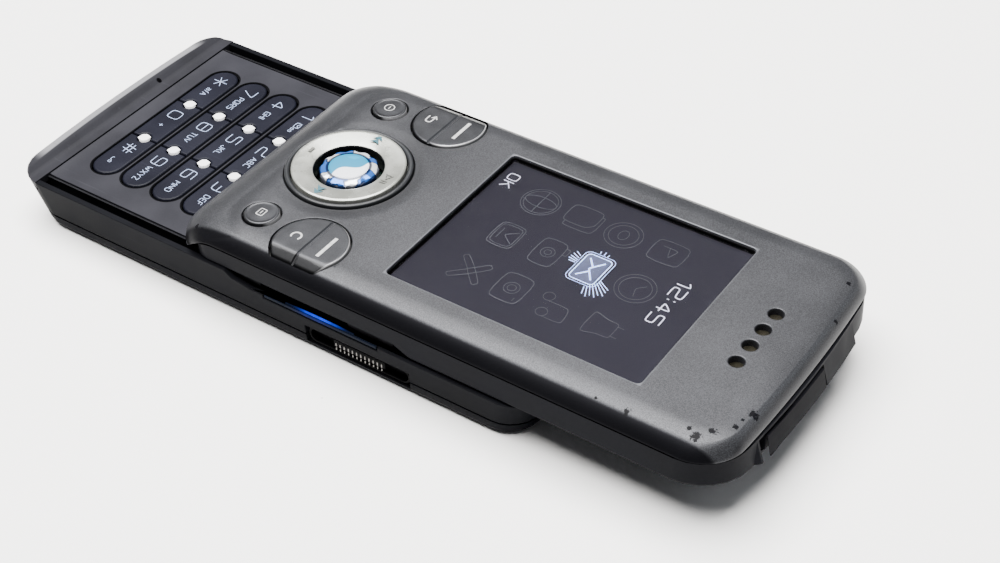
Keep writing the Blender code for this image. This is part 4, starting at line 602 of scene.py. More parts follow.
@dataclass(frozen=True)
class SatinPaint(Finish):
    """Metallic grey paint: fine flakes, a dish round the pad with a painted shadow in it, painted highlights on the
    cut edges, darker shoulders and chips.

    Attributes:
        colour: The paint.
        under: The darker colour towards the shoulders and beyond the top end.
        edge, top_edge: X and Y at which the flat face ends.
        lip: Height of the lower edge at the low end.
        dish: Radius of the dish round the pad.
        chips: Place and size of each chip.
    """

    colour: Colour
    under: Colour
    bare: Colour = (0.003, 0.003, 0.004)
    edge: float = 21.05
    top_edge: float = 77.1
    end_bow: float = 1.0 / 550.0
    lip: float = 8.6
    dish: float = 12.6
    chips: tuple[Point, ...] = (
        (20.6, 72.4, 0.66), (19.9, 70.9, 0.34), (18.7, 73.8, 0.48), (16.4, 75.8, 0.34), (14.7, 76.0, 0.26),
        (13.0, 76.6, 0.56), (-9.3, 77.3, 0.32), (-16.9, 75.6, 0.30), (21.5, 62.6, 0.50), (21.4, 57.9, 0.24),
        (22.2, -10.2, 0.42), (22.7, -8.7, 0.34), (21.6, -11.6, 0.26), (22.0, -5.0, 0.30), (22.6, -3.6, 0.22),
        (-21.6, 70.5, 0.30), (-22.3, -9.6, 0.34),
    )

    def paint(self, sketch: NodeSketch) -> None:
        """Flakes, then darker shoulders and painted highlights on the edges, then chips, then the dish and its
        painted shadow.

        Args:
            sketch: Node tree of the material.
        """
        across, along, up = sketch.axes()
        flake = sketch.noise(0.15, 2.0, rough=0.7)
        cloud = sketch.noise(14.0, 2.0)
        colour = (flake * 0.8 + cloud * 0.2).ramp(0.34, 0.68).mix(shade(self.colour, 0.52), shade(self.colour, 1.5))
        # Darker towards the side shoulders and, by half, beyond the top end.
        side = abs(across) - self.edge
        end = along + across * across * self.end_bow - self.top_edge
        shoulder_dark = side.ramp(0.25, 0.95, 0.0, 0.97)
        colour = shoulder_dark.most(end.ramp(0.3, 1.0, 0.0, 0.5)).mix(colour, self.under)
        # Painted highlight: paler along the lower edge at the low end.
        colour = up.ramp(self.lip + 0.32, self.lip + 0.12).mix(colour, shade(self.colour, 6.0))
        # Painted highlight: paler in a narrow band round the window's edge.
        beside_window = (abs(across) - WINDOW_X_HALF).most(abs(along - WINDOW_Y) - WINDOW_Y_HALF)
        colour = beside_window.ramp(0.02, 0.34, 0.55, 0.0).mix(colour, shade(self.colour, 4.0))
        nearest = side.most(end)
        ragged = sketch.noise(0.55, 4.0, rough=0.7)
        chipped = ragged.ramp(0.735, 0.745) * (nearest.ramp(-0.9, 0.3) * nearest.ramp(1.4, 2.2, 1.0, 0.0))
        for x, y, size in self.chips:
            away = distance(across, along, x, y) + ragged.ramp(0.38, 0.62, 1.1 * size, 0.0, False)
            chipped = chipped.most(away.ramp(1.5 * size, 1.7 * size, 1.0, 0.0))
        colour = chipped.mix(colour, self.bare)
        radius = distance(across, along, 0.0, PAD_Y)
        lee = (along - PAD_Y) * 0.9 + across * 0.4
        shadow = radius.ramp(self.dish - 2.2, self.dish, 0.5, 0.0) * lee.ramp(-2.0, 7.0)
        relief = (radius.ramp(self.dish - 2.6, self.dish) * along.ramp(-9.0, -4.5)).bump(0.11)
        sketch.set(Base_Color=shadow.mix(colour, shade(self.colour, 0.3)),
                   Metallic=chipped.ramp(0.0, 1.0, 0.5, 0.0), Roughness=cloud.ramp(0.3, 0.7, 0.36, 0.42),
                   Specular_IOR_Level=chipped.most(shoulder_dark).ramp(0.0, 1.0, 0.3, 0.04),
                   Normal=flake.bump(0.004, relief))


@dataclass(frozen=True)
class KeyPaint(Finish):
    """Dark metallic paint under lacquer on the keys beside the pad, with a painted highlight along its rim on one
    side.

    Attributes:
        centre, rim: Middle and radius of the rim that carries the painted highlight.
        wall_top: Height below which the walls are black.
        fold: X beyond which the paint looks away from the light, and is darkened as painted shade.
    """

    colour: Colour
    centre: tuple[float, float]
    rim: float
    wall_top: float = 13.1
    fold: float = 20.1

    def paint(self, sketch: NodeSketch) -> None:
        """Flakes, the painted shade beyond the fold, the painted highlight on the rim and the black walls.

        Args:
            sketch: Node tree of the material.
        """
        across, along, up = sketch.axes()
        flake, worn = sketch.noise(0.12, 2.0), sketch.noise(2.6, 3.0)
        top = (flake + worn * 0.5).ramp(0.5, 1.0).mix(shade(self.colour, 0.75), shade(self.colour, 1.25))
        # Painted shade: darker beyond the fold, where the top looks away from the light.
        top = abs(across).ramp(self.fold, self.fold + 0.35).mix(top, shade(self.colour, 0.28))
        # Painted highlight: a pale arc along one side of the rim.
        x, y = self.centre
        inward = (along - y) * 0.9 + (abs(across) - x) * -0.3
        bright = distance(abs(across), along, x, y).ramp(self.rim, self.rim + 0.06)
        top = (bright * inward.ramp(0.35 * self.rim, 0.75 * self.rim)).mix(top, (0.55, 0.55, 0.56))
        low = up.ramp(self.wall_top - 0.1, self.wall_top, 1.0, 0.0)
        sketch.set(Base_Color=low.mix(top, (0.004, 0.004, 0.005)), Metallic=low.ramp(0.0, 1.0, 0.8, 0.0),
                   Roughness=worn.ramp(0.3, 0.7, 0.36, 0.44), Coat_Weight=0.12, Coat_Roughness=0.05,
                   Normal=flake.bump(0.003))


@dataclass(frozen=True)
class Metal(Finish):
    """Bare or plated metal with a drawn grain."""

    colour: Colour
    roughness: float = 0.3
    stretch: Point = (1.0, 0.04, 1.0)
    depth: float = 0.003
    tarnish: float = 0.2

    def paint(self, sketch: NodeSketch) -> None:
        """Grain and tarnish.

        Args:
            sketch: Node tree of the material.
        """
        grain = sketch.noise(0.25, 2.0, self.stretch)
        stain = sketch.noise(5.0, 3.0).ramp(0.35, 0.7)
        sketch.set(Base_Color=stain.mix(shade(self.colour, 1 - self.tarnish), self.colour), Metallic=1.0,
                   Roughness=grain.ramp(0.3, 0.7, self.roughness - 0.06, self.roughness + 0.08),
                   Normal=grain.bump(self.depth))


@dataclass(frozen=True)
class Pearl(Finish):
    """Warm white pearl lacquer of the pad's ring, with black painted shade on its inner wall, in the gap round the
    knob.
    """

    colour: Colour
    tint: Colour
    inner: float

    def paint(self, sketch: NodeSketch) -> None:
        """Clouds and sparks, and black painted shade inside the inner radius.

        Args:
            sketch: Node tree of the material.
        """
        across, along, _ = sketch.axes()
        cloud, spark = sketch.noise(3.2, 3.0), sketch.noise(0.09, 1.0)
        pearl = (cloud * 0.6 + spark * 0.4).ramp(0.38, 0.62).mix(self.tint, self.colour)
        # Painted shade: black down the inner wall, in the gap round the knob.
        lit = distance(across, along, 0.0, PAD_Y).ramp(self.inner - 0.08, self.inner + 0.1)
        sketch.set(Base_Color=lit.mix((0.004, 0.004, 0.005), pearl), Metallic=0.5,
                   Roughness=cloud.ramp(0.3, 0.7, 0.24, 0.32), Coat_Weight=0.5, Coat_Roughness=0.06,
                   Normal=spark.bump(0.002))


@dataclass(frozen=True)
class Ink(Finish):
    """Printed or backlit marks, a little uneven."""

    colour: Colour
    glow: float = 0.0

    def paint(self, sketch: NodeSketch) -> None:
        """Patchy colour, and its glow where it is lit.

        Args:
            sketch: Node tree of the material.
        """
        tone = sketch.noise(0.6, 2.0).ramp(0.35, 0.65).mix(shade(self.colour, 0.8), self.colour)
        sketch.set(Base_Color=tone, Roughness=0.45)
        if self.glow > 0:
            sketch.set(Emission_Color=tone, Emission_Strength=self.glow)


@dataclass(frozen=True)
class CapLacquer(Finish):
    """Blue lacquer of the centre cap, with a painted reflection in silver-white on the near side of a wave."""

    far: Colour
    near: Colour
    slope: tuple[float, float] = (0.55, 0.83)
    wave_turn: float = 1.15
    wave_height: float = 0.55

    def paint(self, sketch: NodeSketch) -> None:
        """The wave that parts the blue from the painted reflection, and streaks in the blue.

        Args:
            sketch: Node tree of the material.
        """
        across, along, _ = sketch.axes()
        offset = along - PAD_Y
        rise, run = self.slope
        wave = ((across * run - offset * rise) * self.wave_turn).math("SINE") * self.wave_height
        # Painted reflection: silver-white on the near side of the wave.
        side = (across * rise + offset * run + wave).ramp(0.55, 0.75)
        streak = sketch.noise(1.1, 2.0, (1.0, 0.4, 1.0), 0.6).ramp(0.62, 0.70, 0.0, 0.5)
        sketch.set(Base_Color=side.mix(streak.mix(self.far, shade(self.far, 1.6)), self.near), Roughness=0.45,
                   Specular_IOR_Level=0.25, Coat_Weight=0.1, Coat_Roughness=0.04)


@dataclass(frozen=True)
class KnobFacets(Finish):
    """Polished knob that mirrors its lit surroundings in patches: pale and blue by turns round its rim."""

    pale: Colour
    blue: Colour
    dark: Colour = (0.006, 0.009, 0.025)
    turns: float = 5.0
    outer: float = 4.25
    inner: float = 3.45

    def paint(self, sketch: NodeSketch) -> None:
        """Patches, the dark lines between them, and the dark rim and hollow.

        Args:
            sketch: Node tree of the material.
        """
        across, along, _ = sketch.axes()
        angle = (along - PAD_Y).math("ARCTAN2", across)
        wave = (angle * self.turns + sketch.noise(2.2, 1.0) * 7.0).math("SINE")
        radius = distance(across, along, 0.0, PAD_Y)
        rim = radius.ramp(self.outer, self.outer + 0.15, 0.0, 0.9)
        hollow = radius.ramp(self.inner, self.inner + 0.15, 1.0, 0.0) * 0.9
        line = abs(wave).ramp(0.10, 0.26, 0.85, 0.0)
        colour = line.most(rim).most(hollow).mix(wave.ramp(0.0, 0.12).mix(self.blue, self.pale), self.dark)
        sketch.set(Base_Color=colour, Metallic=0.45, Roughness=0.16)


@dataclass(frozen=True)
class LitCrystal(Finish):
    """Clear post lit from below: bright at its faceted top with darker flecks, black down in the keypad."""

    colour: Colour
    strength: float
    lit_from: float = 7.75

    def paint(self, sketch: NodeSketch) -> None:
        """Glow above the height at which the light gets out.

        Args:
            sketch: Node tree of the material.
        """
        top = sketch.axes()[2].ramp(self.lit_from, self.lit_from + 0.1)
        fleck = sketch.noise(0.45, 2.0).ramp(0.60, 0.66, 1.0, 0.25)
        sketch.set(Base_Color=top.mix((0.002, 0.002, 0.002), self.colour), Roughness=0.2,
                   Emission_Color=(top * fleck).mix((0.0, 0.0, 0.0), self.colour), Emission_Strength=self.strength)


@dataclass(frozen=True)
class GlowStrip(Finish):
    """Clear strip lit from behind, brightest round its middle."""

    colour: Colour
    strength: float
    middle: float
    reach: float = 6.2

    def paint(self, sketch: NodeSketch) -> None:
        """Glow that fades from the middle to the reach, with ripples.

        Args:
            sketch: Node tree of the material.
        """
        away = abs(sketch.axes()[1] - self.middle)
        ripple = sketch.noise(1.3, 2.0).ramp(0.3, 0.7, 0.75, 1.0)
        lit = (away.ramp(0.6, self.reach, 1.0, 0.0) * ripple).math("POWER", 2.2)
        sketch.set(Base_Color=(0.004, 0.006, 0.012), Roughness=0.4, Specular_IOR_Level=0.02,
                   Emission_Color=lit.mix((0.0, 0.0005, 0.004), self.colour), Emission_Strength=self.strength)


@dataclass(frozen=True)
class Glass(Finish):
    """Clear pane with a few greasy marks."""

    tint: Colour

    def paint(self, sketch: NodeSketch) -> None:
        """Clear, and less smooth where it is smeared.

        Args:
            sketch: Node tree of the material.
        """
        smear = sketch.noise(7.0, 4.0, (1.0, 0.5, 1.0), 0.6)
        sketch.set(Base_Color=self.tint, Transmission_Weight=1.0, IOR=1.36,
                   Roughness=smear.ramp(0.5, 0.8, 0.0, 0.03))


@dataclass(frozen=True)
class DisplayFilm(Finish):
    """Lit but nearly black display: violet-grey, a little lighter towards its far corner."""

    colour: Colour
    half_x: float
    half_y: float

    def paint(self, sketch: NodeSketch) -> None:
        """Glow inside the picture's edges, black beyond them.

        Args:
            sketch: Node tree of the material.
        """
        across, along, _ = sketch.axes()
        offset = along - WINDOW_Y
        tone = (across * -0.012 + offset * -0.010).ramp(-0.4, 0.4, 0.0, 1.0, False)
        lit = tone.mix(shade(self.colour, 1.15), shade(self.colour, 0.80))
        shown = (abs(across).ramp(self.half_x, self.half_x + 0.05, 1.0, 0.0)
                 * abs(offset).ramp(self.half_y, self.half_y + 0.05, 1.0, 0.0))
        sketch.set(Base_Color=shown.mix((0.002, 0.002, 0.002), shade(self.colour, 0.05)), Roughness=0.6,
                   Specular_IOR_Level=0.03, Emission_Color=shown.mix((0.0, 0.0, 0.0), lit), Emission_Strength=1.0)


@dataclass(frozen=True)
class CircuitBoard(Finish):
    """Solder mask with fine tracks under it."""

    colour: Colour

    def paint(self, sketch: NodeSketch) -> None:
        """Tracks in two tones of the mask.

        Args:
            sketch: Node tree of the material.
        """
        tracks = sketch.noise(0.6, 1.0, (1.0, 0.15, 1.0)).ramp(0.52, 0.56)
        sketch.set(Base_Color=tracks.mix(shade(self.colour, 0.7), shade(self.colour, 1.6)), Roughness=0.35,
                   Normal=tracks.bump(0.02))


@dataclass(frozen=True)
class WovenMesh(Finish):
    """Fine metal gauze: two crossed waves give holes between wires."""

    colour: Colour
    pitch: float = 0.16

    def paint(self, sketch: NodeSketch) -> None:
        """Dark holes between bright wires.

        Args:
            sketch: Node tree of the material.
        """
        across, along, _ = sketch.axes()
        turn = 2 * math.pi / self.pitch
        wave = (across * turn).math("SINE") * (along * turn).math("SINE")
        sketch.set(Base_Color=wave.ramp(-0.2, 0.3).mix(shade(self.colour, 0.1), self.colour), Metallic=0.8,
                   Roughness=0.35, Normal=wave.bump(0.03))


@dataclass(frozen=True)
class Table(Finish):
    """Pale painted table top with a few specks of dust."""

    colour: Colour
    dust: Colour = (0.25, 0.24, 0.22)

    def paint(self, sketch: NodeSketch) -> None:
        """Faint clouds and scattered specks.

        Args:
            sketch: Node tree of the material.
        """
        cloud = sketch.noise(90.0, 2.0)
        cells = add_node(sketch.tree, "TexVoronoi", {"Vector": sketch.place(), "Scale": 1.0 / 16.0})
        speck = Signal(cells.outputs["Distance"]).ramp(0.013, 0.022, 1.0, 0.0)
        sketch.set(Base_Color=(speck * 0.6).mix(cloud.mix(shade(self.colour, 0.985), self.colour), self.dust),
                   Roughness=0.6, Specular_IOR_Level=0.25)


class Finishes:
    """Every finish of the phone, each made once, when it is first asked for."""

    recipes = {finish.name: finish for finish in (
        MouldedPlastic("base_plastic", (0.0042, 0.0044, 0.0056), 0.46, specular=0.018),
        MouldedPlastic("shell_plastic", (0.0050, 0.0052, 0.0068), specular=0.02),
        # The chin carries a painted highlight along its outer end.
        MouldedPlastic("chin_plastic", (0.0150, 0.0150, 0.0182), 0.5, 0.3, 0.010, 0.045, sheen_end=1.7),
        MouldedPlastic("power_plastic", (0.0040, 0.0040, 0.0052), 0.46, 0.3, 0.010, 0.015),
        MouldedPlastic("fascia_plastic", (0.0165, 0.0165, 0.0205), 0.46, 0.3, 0.012, 0.06),
        MouldedPlastic("key_plastic", (0.0064, 0.0067, 0.0112), 0.36, 0.3, 0.004, 0.06),
        MouldedPlastic("inner_black", (0.0016, 0.0016, 0.002), 0.5, specular=0.03),
        # Black of the window's gasket, and of the painted shade round the key rows.
        MouldedPlastic("gasket_and_shade_black", (0.0012, 0.0012, 0.0016), 0.5, 0.2, 0.001, 0.02),
        MouldedPlastic("speaker_plastic", (0.03, 0.03, 0.03), 0.5),
        MouldedPlastic("battery_foil", (0.04, 0.045, 0.055), 0.35, 0.5, 0.01),
        MouldedPlastic("web_rubber", (0.004, 0.004, 0.004), 0.8, specular=0.1),
        MouldedPlastic("collar_plastic", (0.016, 0.017, 0.019), 0.34, 0.3, 0.003, 0.25),
        MouldedPlastic("lens_glass", (0.004, 0.004, 0.008), 0.06, 0.5, 0.0, 0.5, 0.6, mottle=0.1),
        SatinPaint("cover_paint", (0.0310, 0.0318, 0.0355), (0.0035, 0.0035, 0.0045)),
        KeyPaint("rocker_paint", (0.0255, 0.0262, 0.0292), ROCKER_AT, 5.62),
        KeyPaint("round_key_paint", (0.0245, 0.0252, 0.0282), ROUND_KEY_AT, 2.62),
        Metal("rail_steel", (0.013, 0.013, 0.015), 0.42),
        Metal("black_steel", (0.012, 0.012, 0.014), 0.45),
        Metal("stamped_steel", (0.32, 0.32, 0.33), 0.34),
        Metal("plated_silver", (0.30, 0.31, 0.33), 0.25),
        Metal("contact_gold", (0.22, 0.21, 0.20), 0.3, (1.0, 1.0, 1.0), 0.001, 0.1),
        Metal("dome_film", (0.55, 0.56, 0.58), 0.4),
        KnobFacets("knob_facets", (0.70, 0.72, 0.76), (0.03, 0.12, 0.42)),
        Pearl("pearl", (0.35, 0.358, 0.33), (0.25, 0.256, 0.232), 5.52),
        CapLacquer("cap_blue", (0.0, 0.15, 0.27), (0.62, 0.64, 0.70)),
        Ink("key_ink", (0.26, 0.32, 0.48), 0.75),
        Ink("silver_ink", (0.40, 0.40, 0.40)),
        Ink("teal_ink", (0.010, 0.075, 0.10)),
        Ink("faint_ink", (0.10, 0.10, 0.09)),
        LitCrystal("post_light", (0.75, 0.75, 0.76), 1.15),
        GlowStrip("strip_body", (0.002, 0.045, 0.85), 0.2, 11.4),
        GlowStrip("side_glow", (0.002, 0.045, 0.85), 2.4, 12.4),
        Glass("screen_glass", (0.97, 0.96, 1.0)),
        DisplayFilm("display_film", (0.047, 0.045, 0.060), 16.2, 20.7),
        Ink("icon_faint", (0.020, 0.020, 0.027), 1.6),
        Ink("icon_bright", (0.45, 0.62, 1.05), 1.6),
        Ink("icon_fill", (0.022, 0.031, 0.066), 1.6),
        Ink("screen_words", (0.52, 0.53, 0.62), 1.0),
        CircuitBoard("board_green", (0.003, 0.010, 0.007)),
        WovenMesh("gauze", (0.045, 0.040, 0.026)),
        Table("table_top", (0.90, 0.894, 0.884)),
    )}
    made: dict[str, bpy.types.Material] = {}

    @classmethod
    def get(cls, name: str) -> bpy.types.Material:
        """The finish of that name, built on first use.

        Args:
            name: Name of the finish.

        Returns:
            Its material.
        """
        if name not in cls.made:
            cls.made[name] = cls.recipes[name].build()
        return cls.made[name]


# ---- making pieces ----


def add_object(name: str, data: bpy.types.ID) -> bpy.types.Object:
    """A new object in the scene.

    Args:
        name: Name of the object.
        data: Mesh, lamp or camera.

    Returns:
        The object.
    """
    made = bpy.data.objects.new(name, data)
    bpy.context.scene.collection.objects.link(made)
    return made


def weigh_normals(made: bpy.types.Object) -> None:
    """Let large faces decide the shading of the rounds beside them, so that flat faces look flat.

    Args:
        made: The piece.
    """
    step = made.modifiers.new("weigh", "WEIGHTED_NORMAL")
    step.weight = 60
    step.keep_sharp = True


def dress(made: bpy.types.Object, finish: str, body: str, replaced: Sequence[str] = (),
          crease: float = 32.0) -> bpy.types.Object:
    """Shade a piece, give it its finish, and put it on its body in place of its solids.

    Args:
        made: The piece.
        finish: Name of its finish.
        body: Body that it moves with.
        replaced: Solids that it stands for.
        crease: Angle in degrees above which an edge stays sharp.

    Returns:
        The same piece.
    """
    made.data.shade_smooth()
    made.data.set_sharp_from_angle(angle=math.radians(crease))
    weigh_normals(made)
    made.data.materials.clear()
    made.data.materials.append(Finishes.get(finish))
    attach(made, body)
    if replaced:
        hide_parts(*replaced)
    log.info("%s rides on %s, %d faces", made.name, body, len(made.data.polygons))
    return made


def show(name: str, patch: Patch, finish: str, body: str, replaced: Sequence[str] = (),
         crease: float = 32.0) -> bpy.types.Object:
    """Turn a patch into a dressed piece.

    Args:
        name: Name of the piece.
        patch: Its surface.
        finish, body, replaced, crease: As for dress.

    Returns:
        The piece.
    """
    return dress(add_object(name, patch.mesh(name)), finish, body, replaced, crease)


def carve(made: bpy.types.Object, cutters: Sequence[Patch]) -> None:
    """Cut patches out of a piece with one exact Boolean, and keep the result as its mesh.

    Args:
        made: The piece.
        cutters: Closed patches that are cut away.
    """
    tool = add_object("cutter", Patch.joined(cutters).mesh("cutter"))
    step = made.modifiers.new("carve", "BOOLEAN")
    step.operation = "DIFFERENCE"
    step.solver = "EXACT"
    step.object = tool
    graph = bpy.context.evaluated_depsgraph_get()
    carved = bpy.data.meshes.new_from_object(made.evaluated_get(graph))
    made.modifiers.clear()
    made.data = carved
    bpy.data.objects.remove(tool, do_unlink=True)


def softened(node: str, name: str, finish: str, body: str, width: float = 0.12,
             segments: int = 3) -> None:
    """Copy and replace a solid, with its facets merged and its edges broken by small rounds.

    Args:
        node: Solid that is copied and replaced.
        name: Name of the new piece.
        finish, body: As for dress.
        width: Width of the rounds in millimetres.
        segments: Faces across each round.
    """
    scratch = bmesh.new()
    scratch.from_mesh(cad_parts[node].data)
    bmesh.ops.remove_doubles(scratch, verts=scratch.verts, dist=MERGED_GAP * MILLIMETRE)
    bmesh.ops.dissolve_limit(scratch, angle_limit=math.radians(FLAT_ANGLE), verts=scratch.verts, edges=scratch.edges)
    mesh = bpy.data.meshes.new(name)
    scratch.to_mesh(mesh)
    scratch.free()
    made = dress(add_object(name, mesh), finish, body, (node,), 40.0)
    made.modifiers.clear()
    edge = made.modifiers.new("edge", "BEVEL")
    edge.width = width * MILLIMETRE
    edge.segments = segments
    edge.limit_method = "ANGLE"
    edge.angle_limit = math.radians(SHARP_ANGLE)
    weigh_normals(made)


def coat(**finishes: str) -> None:
    """Give solids that stay in view, or out of sight inside, their finishes.

    Args:
        finishes: Name of the finish for each solid.
    """
    for node, finish in finishes.items():
        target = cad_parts[node]
        target.data.materials.clear()
        target.data.materials.append(Finishes.get(finish))
        log.info("%s keeps its solid, in %s", node, finish)


def window_plan(inset: float, corner: float = 0.8) -> np.ndarray:
    """Plan of the window's opening, moved in or, below zero, out.

    Args:
        inset: How far it is moved.
        corner: Radius of the corners.

    Returns:
        Rows of x and y.
    """
    return rounded_rectangle(0.0, WINDOW_Y, WINDOW_X_HALF - inset, WINDOW_Y_HALF - inset, corner)


# ---- the screen half ----


@dataclass
class FrontCover:
    """Painted cover of the screen half, with its openings.

    Attributes:
        lip_plan, flat_plan: Half width, low and high end, low and high corner of two outlines.
        lip, lip_low: Height of the lower edge along the sides and at the low end.
        sweep_top, sweep_low: Y between which it falls from the one to the other.
        fullness: Power that makes the side shoulders fuller than a quarter circle.
        crown_width, crown_drop: Reach and fall of the slight crown of the flat face.
    """

    lip_plan: tuple[float, ...] = (23.5, -15.9, 78.45, 5.8, 6.2)
    flat_plan: tuple[float, ...] = (21.05, -8.9, 77.0, 6.2, 4.8)
    bow: float = 1.0
    lip: float = 11.7
    lip_low: float = 8.6
    sweep_top: float = -7.4
    sweep_low: float = -13.2
    top: float = 14.0
    wall: float = 0.9
    fullness: float = 1.5
    crown_width: float = 2.4
    crown_drop: float = 0.26
    pad_radius: float = 10.05

    def outline(self, sizes: tuple[float, ...], inset: float) -> np.ndarray:
        """One of the two outlines, moved in.

        Args:
            sizes: Half width, ends and corners.
            inset: How far it is moved in.

        Returns:
            Rows of x and y.
        """
        half, low, high, *corners = sizes
        return phone_outline(half - inset, low + inset, high - inset, *(item - inset for item in corners), self.bow)

    def shoulder(self, wall: float, steps: int) -> np.ndarray:
        """Rings from the lower edge to the flat face.

        Each point moves from the lip's plan to the flat's plan by 1 - cos(a)^n while it rises by
        sin(a)^n, with n from the fullness on the sides down to 1 where the lip falls to the keypad.
        The lower edge is level along the sides, then falls by a quarter cosine.

        Args:
            wall: Distance that the surface lies inside the outer skin.
            steps: Spaces between the rings.

        Returns:
            Array of rings by points by three coordinates.
        """
        lip, flat = self.outline(self.lip_plan, wall), self.outline(self.flat_plan, wall / 2)
        swept = np.clip((self.sweep_top - lip[:, 1]) / (self.sweep_top - self.sweep_low), 0.0, 1.0)
        level = np.cos(QUARTER * swept)[None, :]
        low = self.lip_low + (self.lip - self.lip_low) * level
        power = 1 + (self.fullness - 1) * level
        angle = (QUARTER * np.linspace(0.0, 1.0, steps + 1))[:, None]
        inward = 1 - np.clip(np.cos(angle), 0.0, 1.0) ** power
        rise = low + (self.top - self.crown_drop - wall - low) * np.sin(angle) ** power
        plan = lip[None] + (flat - lip)[None] * inward[..., None]
        return np.concatenate((plan, rise[..., None]), axis=-1)

    def flared(self, plan: np.ndarray, flare: float) -> Patch:
        """Cutter whose upper end widens by a quarter circle, so that the hole's edge is rounded.

        Args:
            plan: Anticlockwise plan of the hole.
            flare: Radius of its edge.

        Returns:
            The closed patch.
        """
        rings = [(0.0, self.top - self.wall - 1.0)]
        rings += [(-inset, height) for inset, height in rounding(flare, self.top, 4)]
        return Patch.grid(rings_of(plan, rings + [(-flare, self.top + 1.0)]))

    def build(self) -> None:
        """Make the cover and the black lining of its window."""
        outside, inside = self.shoulder(0.0, 22), self.shoulder(self.wall, 10)
        crown = rings_of(outside[-1, :, :2], [
            (self.crown_width * share, self.top - self.crown_drop * (1 - min(share, 1.0)) ** 2)
            for share in (1.08, 1.0, 0.86, 0.72, 0.58, 0.44, 0.3, 0.15)])
        skin = Patch.grid(np.concatenate((crown, outside[::-1], inside)))
        cover = add_object("cover_skin", skin.mesh("cover_skin"))
        rocker = SideKeys().rocker_plan(0.0)
        x, y = ROUND_KEY_AT
        holes = [(window_plan(0.0), 0.16), (circle(0.0, PAD_Y, self.pad_radius, 96), 0.15),
                 (rocker, 0.12), (rocker[::-1] * (-1.0, 1.0), 0.12)]
        holes += [(circle(side.value * x, y, 3.0, 48), 0.15) for side in Side]
        holes += [(circle(x, 70.12, 1.12, 40), 0.22) for x in (-5.64, -1.88, 1.88, 5.64)]
        carve(cover, [self.flared(plan, flare) for plan, flare in holes])
        dress(cover, "cover_paint", SLIDER, ("front_cover",), 38.0)
        lining = np.stack([at_height(window_plan(inset, max(0.8 - inset, 0.3)), height)
                           for inset, height in ((0.02, 13.12), (0.16, 13.12), (0.16, 13.62), (0.02, 13.66))])
        show("window_lining", Patch.grid(lining, loop=True), "gasket_and_shade_black", SLIDER)


